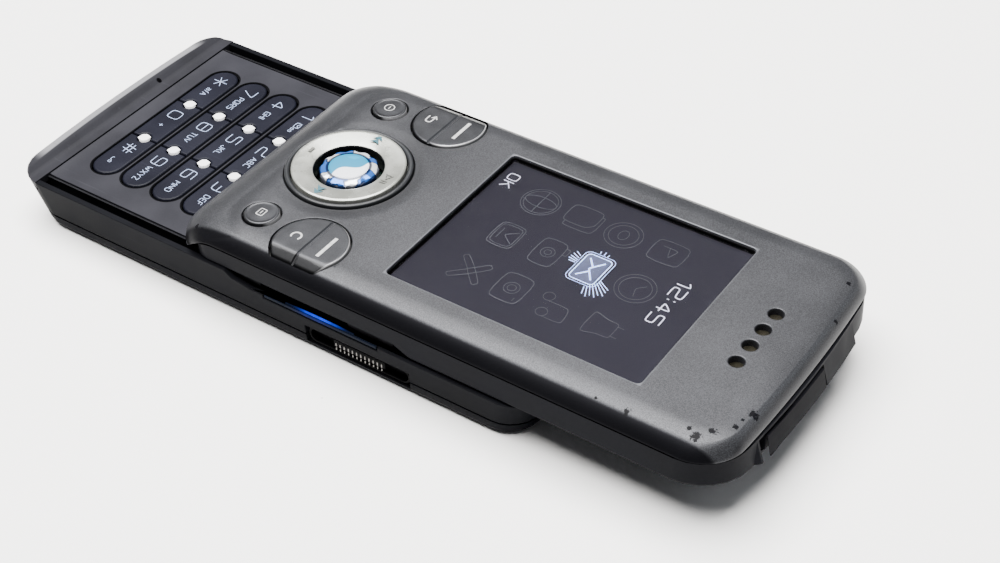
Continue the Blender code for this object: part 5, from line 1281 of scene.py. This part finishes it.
@dataclass
class Screen:
    """Stepped pane, lit panel under it and the menu on the panel."""

    glass_top: float = 13.3
    flange_top: float = 12.85
    glass_low: float = 12.72
    panel_top: float = 12.66
    panel_low: float = 10.6
    columns: tuple[float, ...] = (-10.0, -0.8, 8.5)
    rows: tuple[float, ...] = (28.7, 35.9, 43.1, 50.6)
    icon_scale: float = 1.36
    choice: tuple[float, float] = (-0.95, 43.1)

    @staticmethod
    def icons() -> list[list[Line]]:
        """The lines of the menu's outline icons, each about 4.6 mm across when scaled.

        Returns:
            The lines of each icon.
        """
        box = drawn("@-2,-1.6 2,-1.6 2,1.6 -2,1.6")[0][0]
        leaf = drawn("@-0.2,-0.5 -1.6,-2 -2.1,-1.5 -0.7,0.1 1.3,2 1.9,1.5 0.4,0")[0][0]
        ring, small = circle(0.0, 0.0, 1.95, 28), circle(0.0, 0.0, 0.8, 18)
        return [
            [(ring, True), (ring * (0.45, 1.0), True), *drawn("-1.9,0 1.9,0"), (ring * 1.16, True)],
            [(box, True), (box * 0.84, True), *drawn("-1,1.1 0,-0.3 1,1.1|-0.9,-0.8 0.9,-0.8")],
            [(leaf, True), (leaf * (-1, 1), True)],
            drawn("@-2,-1.9 1.2,-1.9 1.2,1.1 0.4,1.9 -2,1.9|-1.3,1.9 -1.3,2.3 1.9,2.3 1.9,-1.4 1.2,-1.4"),
            [(box * (1.1, 0.95), True), (small, True), (small * 0.5, True),
             *drawn("-1.5,1.5 -1.5,2 -0.4,2 -0.4,1.5")],
            [(box * 1.1, True), (small * 1.1, True), (small * 0.6, True), *drawn("1.2,1.1 1.7,1.1")],
            [(ring * 1.1, True), (ring * 0.85, True), (small * (1.0, 0.7), True)],
            [(circle(-1.0, -1.3, 0.65, 14), True), (circle(1.4, -0.7, 0.65, 14), True),
             *drawn("-0.4,-1.2 -0.4,1.6 2,2 2,-0.6")],
            [(box * (0.9, 1.25), True), *drawn("-0.8,-1 -0.8,0.9 0.8,0.3 -0.8,-0.2")],
            [(ring * 1.15, True), (ring * 0.9, True), *drawn("-0.9,0.9 0,0 1.2,0.4")],
            drawn("@-1.8,-1.6 1.8,-1.6 1.2,0.2 1.2,1.6 -1.2,1.6 -1.2,0.2|-0.8,1.6 -0.8,2.3|0.8,1.6 0.8,2.3"),
        ]

    def build(self) -> None:
        """Make the pane, the panel and the menu."""
        levels = ((-1.6, 0.8, self.glass_low), (-1.6, 0.8, self.flange_top), (0.04, 0.8, self.flange_top),
                  (0.04, 0.8, self.glass_top - 0.05), (0.09, 0.75, self.glass_top))
        pane = np.stack([at_height(window_plan(inset, corner), height) for inset, corner, height in levels])
        show("screen_pane", Patch.grid(pane), "screen_glass", SLIDER, ("display_window",))
        panel = rounded_slab(window_plan(-1.2), self.panel_low, self.panel_top, 0.08, 0.08, 2)
        show("display_panel", panel, "display_film", SLIDER, ("display_module",))
        low, high = self.panel_top + 0.01, self.panel_top + 0.03
        places = [(x, y) for row, y in enumerate(self.rows) for column, x in enumerate(self.columns)
                  if (column, row) != (1, 2)]
        faint = [stroke(eased(line * self.icon_scale, closed, 0.14) + place, 0.08, low, high, closed)
                 for place, icon in zip(places, self.icons()) for line, closed in icon]
        show("menu_icons", Patch.joined(faint), "icon_faint", SLIDER)
        self.menu_choice(low, high)
        words = lettering("12:45", -0.8, 56.1, 2.2, 0.19, low, high)
        words += lettering("OK", -11.9, 21.9, 1.8, 0.17, low, high)
        show("screen_words", Patch.joined(words), "screen_words", SLIDER)

    def menu_choice(self, low: float, high: float) -> None:
        """The chosen icon: an envelope in a lit frame with rays below and beside it.

        Args:
            low, high: Heights of the underside and the top of the lines.
        """
        middle = np.array(self.choice)
        bright = [stroke(rounded_rectangle(*middle, 2.95, 2.05, 0.65, 6), 0.17, low, high, True),
                  stroke(rounded_rectangle(*middle, 3.4, 2.5, 0.95, 6), 0.07, low, high, True)]
        for line, _ in drawn("-2.1,1.25 0,-0.3 2.1,1.25|-2.1,-1.3 -0.5,0.05|2.1,-1.3 0.5,0.05"):
            bright.append(stroke(eased(line, False, 0.06) + middle, 0.26, low + 0.02, high + 0.02))
        angles = np.radians([18, 24, 30, 36, 42, 48, 54, 60, -92, -99, -106, -114, -122, 170, 180, 190])
        starts = (3.9, 3.7, 3.5, 3.4, 3.3, 3.2, 3.1, 3.0, 2.7, 2.7, 2.8, 3.0, 3.3, 3.6, 3.6, 3.7)
        ends = (5.4, 5.9, 5.7, 6.1, 5.8, 6.0, 5.5, 5.2, 3.8, 4.1, 4.2, 4.3, 4.4, 4.1, 4.3, 4.2)
        for way, near, far in zip(np.column_stack((np.cos(angles), np.sin(angles))), starts, ends):
            bright.append(stroke(np.stack((way * near, way * far)) + middle, 0.12, low, high))
        show("menu_choice", Patch.joined(bright), "icon_bright", SLIDER)
        fill = rounded_slab(rounded_rectangle(*middle, 2.8, 1.9, 0.55), low, low + 0.01, 0.0)
        show("menu_choice_fill", fill, "icon_fill", SLIDER)


@dataclass
class RoundPad:
    """Collar, pearl ring, marks and polished knob with its cap."""

    collar_inner: float = 9.05
    collar_outer: float = 9.85
    ring_outer: float = 8.85
    ring_inner: float = 5.4
    mark_low: float = 14.73
    mark_high: float = 14.775
    knob: float = 4.55
    cap: float = 3.1

    def build(self) -> None:
        """Make the pad."""
        inner, outer = self.collar_inner, self.collar_outer
        collar = eased([(inner, 12.5), (10.6, 12.5), (10.6, 12.82), (outer, 12.85), (outer, 14.3),
                        (outer - 0.25, 14.45), (inner + 0.25, 14.45), (inner, 14.25)], True, 0.12)
        show("pad_collar", turned(collar, 0.0, PAD_Y, 128, loop=True), "collar_plastic", SLIDER,
             ("nav_bezel",), 60.0)
        inner, outer = self.ring_inner, self.ring_outer
        crown = [(inner + 0.35 + (outer - 0.75 - inner) * share, 14.36 + 0.43 * share ** 0.8)
                 for share in np.linspace(1.0, 0.0, 14)]
        ring = [(inner, 11.65), (9.2, 11.65), (9.2, 11.95), (outer, 11.95), (outer, 14.45), (outer - 0.07, 14.68),
                (outer - 0.22, 14.78), *crown, (inner + 0.12, 14.28), (inner, 14.1)]
        show("pad_ring", turned(ring, 0.0, PAD_Y, 160, loop=True), "pearl", "nav_ring", ("nav_ring",))
        self.marks()
        self.knob_and_cap()

    def marks(self) -> None:
        """Wedges on the ring at both sides, and small signs at its ends."""
        wedge = drawn("@-0.55,-0.85 0.45,-0.15 0.65,0 0.45,0.15 -0.55,0.85 -0.25,0")[0][0]
        wedges = []
        for x, y, turn in ((-7.5, PAD_Y - 0.15, math.pi), (7.35, PAD_Y + 0.05, 0.0)):
            spin = np.array([[math.cos(turn), -math.sin(turn)], [math.sin(turn), math.cos(turn)]])
            plans = [eased((wedge + (shift, 0.0)) @ spin.T + (x, y), True, 0.1, 1) for shift in (-0.42, 0.48)]
            wedges += [rounded_slab(plan, self.mark_low + 0.015, self.mark_high, 0.0) for plan in plans]
        show("pad_marks", Patch.joined(wedges), "teal_ink", "nav_ring")
        signs = drawn("0.75,6.3 0.75,7.5|0.3,6.3 0.3,7.5|-1.2,6.3 -0.15,6.9 -1.2,7.5 -1.2,6.3|-0.6,-7.2 0.6,-7.2")
        faint = [stroke(line + (0.0, PAD_Y), width, self.mark_low, self.mark_high)
                 for (line, _), width in zip(signs, (0.15, 0.15, 0.15, 0.5))]
        show("pad_play_marks", Patch.joined(faint), "faint_ink", "nav_ring")

    def knob_and_cap(self) -> None:
        """Fluted knob and the domed cap in it.

        The knob's profile gives the radius r, height and share s of each ring. A ring's radius at the angle a is
        r + 0.05 s cos(12 a). The cap's dome is a quarter of an ellipse.
        """
        knob, cap = self.knob, self.cap
        profile = [(1.0, 10.85, 0), (3.6, 10.9, 0), (3.6, 12.9, 0), (knob - 0.15, 13.0, 0), (knob, 13.2, 1),
                   (knob, 13.7, 2), (knob - 0.1, 13.95, 3), (knob - 0.35, 14.16, 3), (knob - 0.75, 14.3, 2),
                   (cap + 0.35, 14.42, 0.6), (cap + 0.12, 14.46, 0), (cap + 0.06, 14.36, 0)]
        flute = 2 * math.pi * np.arange(160) / 160
        rows = []
        for radius, height, share in profile:
            reach = radius + 0.05 * share * np.cos(12 * flute)
            rows.append(at_height(np.column_stack((reach * np.cos(flute), PAD_Y + reach * np.sin(flute))), height))
        show("pad_knob", Patch.grid(np.stack(rows)), "knob_facets", "centre_key", ("centre_key",))
        dome = [(1.2, 14.3), (cap, 14.3), (cap, 14.44)]
        dome += [((cap - 0.08) * math.cos(a), 14.46 + 0.24 * math.sin(a))
                 for a in np.linspace(0.0, 1.0, 12)[:-1] * QUARTER]
        show("pad_cap", turned([*dome, (0.08, 14.7)], 0.0, PAD_Y, 96), "cap_blue", "centre_key")


@dataclass
class SideKeys:
    """Rockers and round keys beside the pad, with their marks.

    Attributes:
        hole_radius, side_x: Radius of the rockers' holes and X at which they are cut off straight.
        gap: Space round a rocker in its hole.
        edge: Radius of its upper edge.
        fold_x, fold_drop, fold_round: Place, slope and softness of its fold over the shoulder.
        foot, flange_low, flange_top: Heights of what holds the keys under the cover.
    """

    hole_radius: float = 6.1
    side_x: float = 22.0
    gap: float = 0.3
    edge: float = 0.28
    top: float = 14.25
    fold_x: float = 20.15
    fold_drop: float = 0.66
    fold_round: float = 0.22
    foot: float = 10.85
    flange_low: float = 11.85
    flange_top: float = 12.15
    round_radius: float = 2.7
    round_top: float = 14.33

    def rocker_plan(self, inset: float) -> np.ndarray:
        """Right rocker's plan: a circle cut off straight on its outer side, with small corner rounds.

        Args:
            inset: How far the plan is moved in.

        Returns:
            Rows of x and y.
        """
        x, y = ROCKER_AT
        radius, side = self.hole_radius - inset, self.side_x - inset
        half = math.acos((side - x) / radius)
        curve = arc(x, y, radius, half + 0.03, 2 * math.pi - 2 * half - 0.06, 72)
        reach = radius * math.sin(half) - 0.35
        straight = np.column_stack((np.full(12, side), np.linspace(y - reach, y + reach, 12)))
        return np.concatenate((curve, straight))

    def rocker(self) -> Patch:
        """Right rocker: its top is level and folds down over the shoulder beyond a line along Y.

        The surface is a stack of rings. The top falls by half of the slope times d + sqrt(d^2 + r^2), where d is
        how far a point lies beyond the fold and r is the fold's softness.

        Returns:
            The closed patch.
        """
        plan = self.rocker_plan(self.gap)
        centre = np.array(ROCKER_AT)
        flange = self.rocker_plan(-self.gap)
        flange[:, 0] = np.minimum(flange[:, 0], plan[:, 0].max() + 0.05)
        walls = [at_height(centre + (plan - centre) / 3, self.foot),
                 at_height(centre + (plan - centre) / 3, self.flange_low), at_height(flange, self.flange_low),
                 at_height(flange, self.flange_top), at_height(plan, self.flange_top)]
        inner = plan - plan_normals(plan) * self.edge
        top = np.concatenate((rings_of(plan, rounding(self.edge, self.top, 5)), np.stack([
            at_height(centre + (inner - centre) * share, self.top) for share in np.linspace(0.96, 0.04, 24)])))
        past = top[..., 0] - self.fold_x
        top[..., 2] -= self.fold_drop * 0.5 * (past + np.sqrt(past ** 2 + self.fold_round ** 2))
        return Patch.grid(np.concatenate((np.stack(walls), top)))

    def groove(self) -> Patch:
        """Cutter for the shallow groove across the right rocker.

        Its section is carried along X and falls by the slope beyond the fold, as the rocker does.

        Returns:
            The closed patch.
        """
        wide, narrow, depth = 0.34, 0.14, 0.2
        section = np.array(((-depth, -narrow), (-depth, narrow), (0.0, wide), (1.0, 1.5 * wide),
                            (1.0, -1.5 * wide), (0.0, -wide)))
        stops = np.array((10.9, self.fold_x, 23.1))[:, None]
        fall = self.fold_drop * np.maximum(stops - self.fold_x, 0.0)
        parts = np.broadcast_arrays(stops, ROCKER_AT[1] + section[:, 1], self.top + section[:, 0] - fall)
        return Patch.grid(np.stack(parts, axis=-1))

    def build(self) -> None:
        """Make the keys on both sides."""
        right, groove, radius = self.rocker(), self.groove(), self.round_radius
        for side in Side:
            patches = (right, groove) if side is Side.RIGHT else (right.mirrored(), groove.mirrored())
            word = side.name.lower()
            rocker = add_object("rocker_cap_" + word, patches[0].mesh("rocker_cap_" + word))
            carve(rocker, patches[1:])
            dress(rocker, "rocker_paint", "rocker_" + word, ("rocker_" + word,), 24.0)
            self.rocker_marks(side, word)
            x, y = side.value * ROUND_KEY_AT[0], ROUND_KEY_AT[1]
            profile = [(1.0, self.foot), (1.0, self.flange_low), (radius + 0.6, self.flange_low),
                       (radius + 0.6, self.flange_top), (radius, self.flange_top), (radius, 14.1),
                       (radius - 0.05, 14.22), (radius - 0.16, 14.3), (radius - 0.34, self.round_top),
                       (radius - 0.44, 14.29), (radius - 0.7, 14.28), (radius * 0.5, self.round_top), (0.1, 14.36)]
            show("round_cap_" + word, turned(profile, x, y, 72), "round_key_paint", "round_key_" + word,
                 ("round_key_" + word,), 40.0)
            line = circle(x, y, 0.8, 24) if side is Side.LEFT else rounded_rectangle(x, y, 0.75, 0.55, 0.2, 4)
            low, high = self.round_top, self.round_top + 0.055
            sign = [stroke(line, 0.14, low, high, True), stroke([(x - 0.35, y), (x + 0.35, y)], 0.14, low, high)]
            show("round_mark_" + word, Patch.joined(sign), "silver_ink", "round_key_" + word)

    def rocker_marks(self, side: Side, word: str) -> None:
        """Bar of the soft key, and the arrow or letter C beside it.

        Args:
            side: Side of the rocker.
            word: Name of that side.
        """
        low, high = self.top - 0.005, self.top + 0.02
        lines = [([(side.value * 14.5, 9.45), (side.value * 19.2, 9.45)], 0.55)]
        if side is Side.RIGHT:
            lines += [(arc(17.2, 4.05, 0.78, math.radians(50), math.radians(260), 20), 0.27)]
        else:
            hook, tip = drawn("-17.6,2.9 -16.2,2.9 -16,3.4 -16.2,3.95 -17.7,3.95|-17.2,4.45 -17.8,3.95 -17.2,3.45")
            lines += [(eased(hook[0], False, 0.2), 0.22), (tip[0], 0.2)]
        marks = Patch.joined([stroke(line, width, low, high) for line, width in lines])
        show("rocker_mark_" + word, marks, "silver_ink", "rocker_" + word)


@dataclass
class SliderShell:
    """Dark rear shell of the screen half, its power key, earpiece and carriage."""

    edge: float = 0.12

    def build(self) -> None:
        """Make the shell and dress what it carries."""
        softened("slider_shell", "shell_skin", "shell_plastic", SLIDER, self.edge, 2)
        softened("power_key", "power_key_skin", "power_plastic", "power_key", self.edge)
        coat(slide_carriage="black_steel", earpiece_mesh="gauze", earpiece="speaker_plastic",
             slider_board="board_green", nav_web="web_rubber",
             **{f"carriage_screw_{number}": "stamped_steel" for number in range(1, 5)})


# ---- the keypad ----

# Width as a share of the height, and lines in a unit square, of each character.
GLYPHS: dict[str, tuple[float, str]] = {
    "0": (0.9, "@0,0 1,0 1,1 0,1"),
    "1": (0.45, "0,0.75 0.9,1 0.9,0"),
    "2": (0.9, "0,1 1,1 1,0.52 0,0.46 0,0 1,0"),
    "3": (0.85, "0,1 1,1 1,0 0,0|0.25,0.52 1,0.52"),
    "4": (0.9, "0.72,0 0.72,1 0,0.3 1,0.3"),
    "5": (0.9, "1,1 0,1 0,0.56 1,0.56 1,0 0,0"),
    "6": (0.9, "0.95,1 0,1 0,0 1,0 1,0.56 0,0.56"),
    "7": (0.85, "0,1 1,1 0.35,0"),
    "8": (0.9, "@0,0 1,0 1,1 0,1|0,0.52 1,0.52"),
    "9": (0.9, "0.05,0 1,0 1,1 0,1 0,0.44 1,0.44"),
    "*": (0.9, "0.5,0 0.5,1|0.05,0.25 0.95,0.75|0.05,0.75 0.95,0.25"),
    "#": (1.1, "0.24,0 0.38,1|0.62,0 0.76,1|0.04,0.66 1,0.66|0,0.34 0.96,0.34"),
    "+": (0.8, "0.5,0.15 0.5,0.85|0.05,0.5 0.95,0.5"),
    ":": (0.16, "0.5,0.2 0.5,0.34|0.5,0.66 0.5,0.8"),
    "A": (0.8, "0,0 0.5,1 1,0|0.2,0.36 0.8,0.36"),
    "B": (0.75, "@0,0 1,0 1,0.52 0.85,0.52 0.85,1 0,1|0,0.52 0.9,0.52"),
    "C": (0.75, "1,1 0,1 0,0 1,0"),
    "D": (0.8, "@0,0 0.75,0 1,0.3 1,0.7 0.75,1 0,1"),
    "E": (0.68, "1,1 0,1 0,0 1,0|0,0.52 0.85,0.52"),
    "F": (0.66, "1,1 0,1 0,0|0,0.52 0.85,0.52"),
    "G": (0.8, "1,1 0,1 0,0 1,0 1,0.5 0.5,0.5"),
    "H": (0.78, "0,0 0,1|1,0 1,1|0,0.5 1,0.5"),
    "I": (0.05, "0.5,0 0.5,1"),
    "J": (0.6, "1,1 1,0 0,0 0,0.3"),
    "K": (0.75, "0,0 0,1|1,1 0,0.42|0.35,0.62 1,0"),
    "L": (0.62, "0,1 0,0 1,0"),
    "M": (0.9, "0,0 0,1 0.5,0.4 1,1 1,0"),
    "N": (0.8, "0,0 0,1 1,0 1,1"),
    "O": (0.82, "@0,0 1,0 1,1 0,1"),
    "P": (0.72, "0,0 0,1 1,1 1,0.44 0,0.44"),
    "Q": (0.82, "@0,0 1,0 1,1 0,1|0.62,0.3 1.05,-0.1"),
    "R": (0.74, "0,0 0,1 1,1 1,0.46 0,0.46|0.5,0.46 1,0"),
    "S": (0.74, "1,1 0,1 0,0.54 1,0.54 1,0 0,0"),
    "T": (0.74, "0,1 1,1|0.5,1 0.5,0"),
    "U": (0.78, "0,1 0,0 1,0 1,1"),
    "V": (0.8, "0,1 0.5,0 1,1"),
    "W": (1.1, "0,1 0.25,0 0.5,0.75 0.75,0 1,1"),
    "X": (0.78, "0,1 1,0|0,0 1,1"),
    "Y": (0.76, "0,1 0.5,0.48 1,1|0.5,0.48 0.5,0"),
    "Z": (0.76, "0,1 1,1 0,0 1,0"),
    "a": (0.62, "0.05,0.66 1,0.66 1,0 0,0 0,0.36 1,0.36"),
    "/": (0.35, "0,-0.05 1,1.05"),
    "_": (0.8, "0,0.3 0,0 1,0 1,0.3"),
    "=": (1.5, "@0,0 1,0 1,1 0,1|0,1 0.5,0.4 1,1"),
    "o": (0.45, "@0,0 1,0 1,0.5 0,0.5"),
}


def lettering(words: str, x: float, y: float, height: float, width: float, low: float, high: float,
              narrow: float = 1.0) -> list[Patch]:
    """Characters drawn as lines, side by side about a middle.

    Args:
        words: The characters.
        x, y: Middle of the word.
        height: Height of a capital.
        width: Width of the lines.
        low, high: Heights of their underside and top.
        narrow: Width of the characters as a share of the usual one.

    Returns:
        One patch for each line.
    """
    space = 0.30 * height * narrow
    widths = [GLYPHS[character][0] * height * narrow for character in words]
    start = x - (sum(widths) + space * (len(words) - 1)) / 2
    patches = []
    for character, wide in zip(words, widths):
        for points, closed in drawn(GLYPHS[character][1]):
            line = points * (wide, height) + (start, y - height / 2)
            patches.append(stroke(eased(line, closed, 0.16), width, low, high, closed))
        start += wide + space
    return patches


@dataclass
class Keypad:
    """Keys with their characters, the panel round them and the lit posts between them.

    Attributes:
        row_half, row_rise: Half of the length and half of the height of a row's slot.
        tip_long, tip_short: Half diagonals of the bright top of a post.
        digits, letters: X of the large and of the small characters in each column.
        keys: Key, character and small characters, row by row from the low end.
    """

    top: float = 8.2
    low_row: float = -37.8
    pitch: float = 6.35
    row_half: float = 16.62
    row_rise: float = 2.97
    post_x: float = 5.517
    tip_long: float = 1.12
    tip_short: float = 0.84
    digits: tuple[float, ...] = (-13.2, -1.9, 9.0)
    letters: tuple[float, ...] = (-9.7, 1.45, 12.75)
    keys: tuple[str, ...] = (
        "star * a/A", "0 0 +", "hash # _o", "7 7 PQRS", "8 8 TUV", "9 9 WXYZ",
        "4 4 GHI", "5 5 JKL", "6 6 MNO", "1 1 =oo", "2 2 ABC", "3 3 DEF",
    )

    def build(self) -> None:
        """Make the keypad."""
        softened("keypad_fascia", "fascia_skin", "fascia_plastic", BASE, 0.08, 2)
        softened("chin_cap", "chin_skin", "chin_plastic", BASE, 0.10, 2)
        softened("key_light_guide", "light_posts", "post_light", BASE, 0.22, 1)
        rows = [self.low_row + row * self.pitch for row in range(4)]
        # Painted shade: thin black strokes on the panel round each row of keys, standing in for the shade in the
        # gaps.
        gap_shades = [stroke(rounded_rectangle(0.0, y, self.row_half, self.row_rise, self.row_rise - 0.01, 14),
                       0.2, 8.09, 8.106, True) for y in rows]
        show("row_gap_shade", Patch.joined(gap_shades), "gasket_and_shade_black", BASE)
        long, short = np.array([-0.577, 0.816]) * self.tip_long, np.array([0.816, 0.577]) * self.tip_short
        tip = eased([long, 0.35 * long + short, -0.35 * long + short, -long, -0.35 * long - short,
                     0.35 * long - short][::-1], True, 0.12, 1)
        tips = [rounded_slab(tip + (side.value * self.post_x, y), self.top + 0.004, self.top + 0.06, 0.05)
                for y in rows for side in Side]
        show("post_tips", Patch.joined(tips), "post_light", BASE)
        low, high = self.top - 0.004, self.top + 0.018
        for number, (key, digit, words) in enumerate(entry.split() for entry in self.keys):
            name, y, column = "key_" + key, rows[number // 3], number % 3
            softened(name, name + "_skin", "key_plastic", name)
            lines = lettering(digit, self.digits[column], y, 2.6 if digit == "*" else 2.25, 0.115, low, high)
            lines += lettering(words, self.letters[column], y - 0.1, 1.05, 0.092, low, high, 0.84)
            show(name + "_print", Patch.joined(lines), "key_ink", name)


# ---- the base ----


@dataclass
class Base:
    """Housing, back cover, rails, connector and side fittings.

    Attributes:
        camera: Middle of the camera window.
        pin_x, pin_rows: X of the contacts, and first, last and spacing of their Y.
        haze_ends, haze_height, haze_half: Ends, height and half thickness of the light on the side's step.
    """

    camera: tuple[float, float] = (9.0, 37.5)
    pin_x: float = 23.2
    pin_rows: Point = (15.0, 24.0, 0.75)
    haze_ends: tuple[float, float] = (6.0, 18.6)
    haze_height: float = 6.70
    haze_half: float = 0.13

    def build(self) -> None:
        """Make the base."""
        softened("rear_housing", "housing_skin", "base_plastic", BASE, 0.14)
        softened("back_cover", "back_skin", "base_plastic", BASE, 0.10, 2)
        softened("deck_plate", "deck_skin", "inner_black", BASE, 0.10, 2)
        softened("connector_shell", "connector_skin", "inner_black", BASE, 0.06, 2)
        softened("volume_rocker", "volume_skin", "plated_silver", "volume_rocker", 0.10)
        softened("camera_key", "camera_key_skin", "plated_silver", "camera_key", 0.10)
        for side in Side:
            word = side.name.lower()
            softened("rail_" + word, "rail_skin_" + word, "rail_steel", BASE, 0.06, 2)
            softened("side_light_" + word, "light_strip_" + word, "strip_body", BASE, 0.06, 2)
            self.side_haze(side, word)
        leaves = [rounded_slab(rounded_rectangle(self.pin_x, y, 0.08, 0.09, 0.03, 2), low, high, 0.03, 0.03)
                  for y in np.arange(*self.pin_rows) for low, high in ((1.95, 2.4), (2.62, 3.25))]
        show("contact_pins", Patch.joined(leaves), "contact_gold", BASE, ("connector_contacts",))
        coat(deck_screw_left="stamped_steel", deck_screw_right="stamped_steel", battery="battery_foil",
             main_board="board_green", dome_sheet="dome_film", loudspeaker="speaker_plastic",
             camera_module="inner_black", vibration_motor="stamped_steel", microphone="stamped_steel")
        x, y = self.camera
        pane = [(3.0, 0.9), (3.0, 0.42), (2.94, 0.36), (1.9, 0.34), (1.7, 0.42), (0.9, 0.62), (0.05, 0.66)]
        show("lens_pane", turned(pane, x, y, 64), "lens_glass", BASE, ("camera_window",), 30.0)
        ring = eased([(3.02, 0.1), (3.24, 0.1), (3.24, 0.6), (3.02, 0.6)], True, 0.2)
        show("lens_ring", turned(ring, x, y, 72, loop=True), "plated_silver", BASE, (), 60.0)

    def side_haze(self, side: Side, word: str) -> None:
        """Light from the side strip on the step above it, along the rim's top edge.

        Its half height at a share t of its length follows sin(pi t) to the power 0.9.

        Args:
            side: Side of the strip.
            word: Name of that side.
        """
        share = np.linspace(0.0, 1.0, 25)
        start, end = self.haze_ends
        half = self.haze_half * np.sin(math.pi * share) ** 0.9 + 0.01
        middle = self.haze_height + 0.2 * half
        rows = np.stack([
            np.column_stack((np.full(25, side.value * x), start + (end - start) * share, middle + sign * half))
            for x, sign in ((23.36, -1), (23.30, 1), (23.10, 1), (23.10, -1))
        ], axis=1)
        show("light_haze_" + word, Patch.grid(rows), "side_glow", BASE)


# ---- table, light and camera ----


@dataclass
class Studio:
    """Pale table, soft lights and the camera."""

    eye: Point = (0.16494745, 0.14431409, 0.17833405)
    turn: tuple[Point, ...] = (
        (-0.56198296, -0.54905308, 0.61864033),
        (0.8268957, -0.35442332, 0.43660922),
        (-0.02046108, 0.75691797, 0.6531895),
    )
    lens: float = 64.397
    floor_half: float = 4000.0

    def build(self) -> None:
        """Set up everything that isn't the phone."""
        plan = np.array([(-1.0, -1.0), (1.0, -1.0), (1.0, 1.0), (-1.0, 1.0)]) * self.floor_half
        patch = Patch.grid(np.stack((at_height(plan, -20.0), at_height(plan, -0.02))))
        floor = add_object("table", patch.mesh("table"))
        floor.data.materials.append(Finishes.get("table_top"))
        world = bpy.data.worlds.new("surroundings")
        world.use_nodes = True
        backdrop = world.node_tree.nodes["Background"]
        backdrop.inputs["Color"].default_value = (0.93, 0.95, 1.0, 1.0)
        backdrop.inputs["Strength"].default_value = 0.13
        bpy.context.scene.world = world
        self.light("overhead", (-0.06, -0.19, 0.98), (0.0, 0.0, 0.0), 1.0, 73.0, (1.0, 0.99, 0.975))
        self.light("window", (-0.9, 0.9, 0.65), (0.0, 0.02, 0.0), 0.6, 3.0, (0.9, 0.94, 1.0))
        self.view()

    def light(self, name: str, place: Point, target: Point, size: float, power: float, colour: Colour) -> None:
        """A square soft light that faces a point.

        Args:
            name: Name of the light.
            place, target: Where it is and what it faces, in metres.
            size: Width in metres.
            power: Power in watts.
            colour: Its colour.
        """
        lamp = bpy.data.lights.new(name, "AREA")
        lamp.shape = "SQUARE"
        lamp.size = size
        lamp.energy = power
        lamp.color = colour
        made = add_object(name, lamp)
        made.location = place
        made.rotation_euler = (Vector(target) - Vector(place)).to_track_quat("-Z", "Y").to_euler()

    def view(self) -> None:
        """The camera, where the photograph was taken from."""
        camera = bpy.data.cameras.new("camera")
        camera.sensor_width = 36.0
        camera.lens = self.lens
        camera.clip_start = 0.01
        made = add_object("camera", camera)
        made.matrix_world = Matrix.Translation(self.eye) @ Matrix(self.turn).to_4x4()
        bpy.context.scene.camera = made


def main() -> None:
    """Build the phone from its base up, then the studio round it."""
    logging.basicConfig(level=logging.INFO, format="%(name)s: %(message)s")
    for assembly in (Base(), Keypad(), SliderShell(), Screen(), FrontCover(), RoundPad(), SideKeys(), Studio()):
        log.info("building %s", type(assembly).__name__)
        assembly.build()


if __name__ == "__main__":
    main()
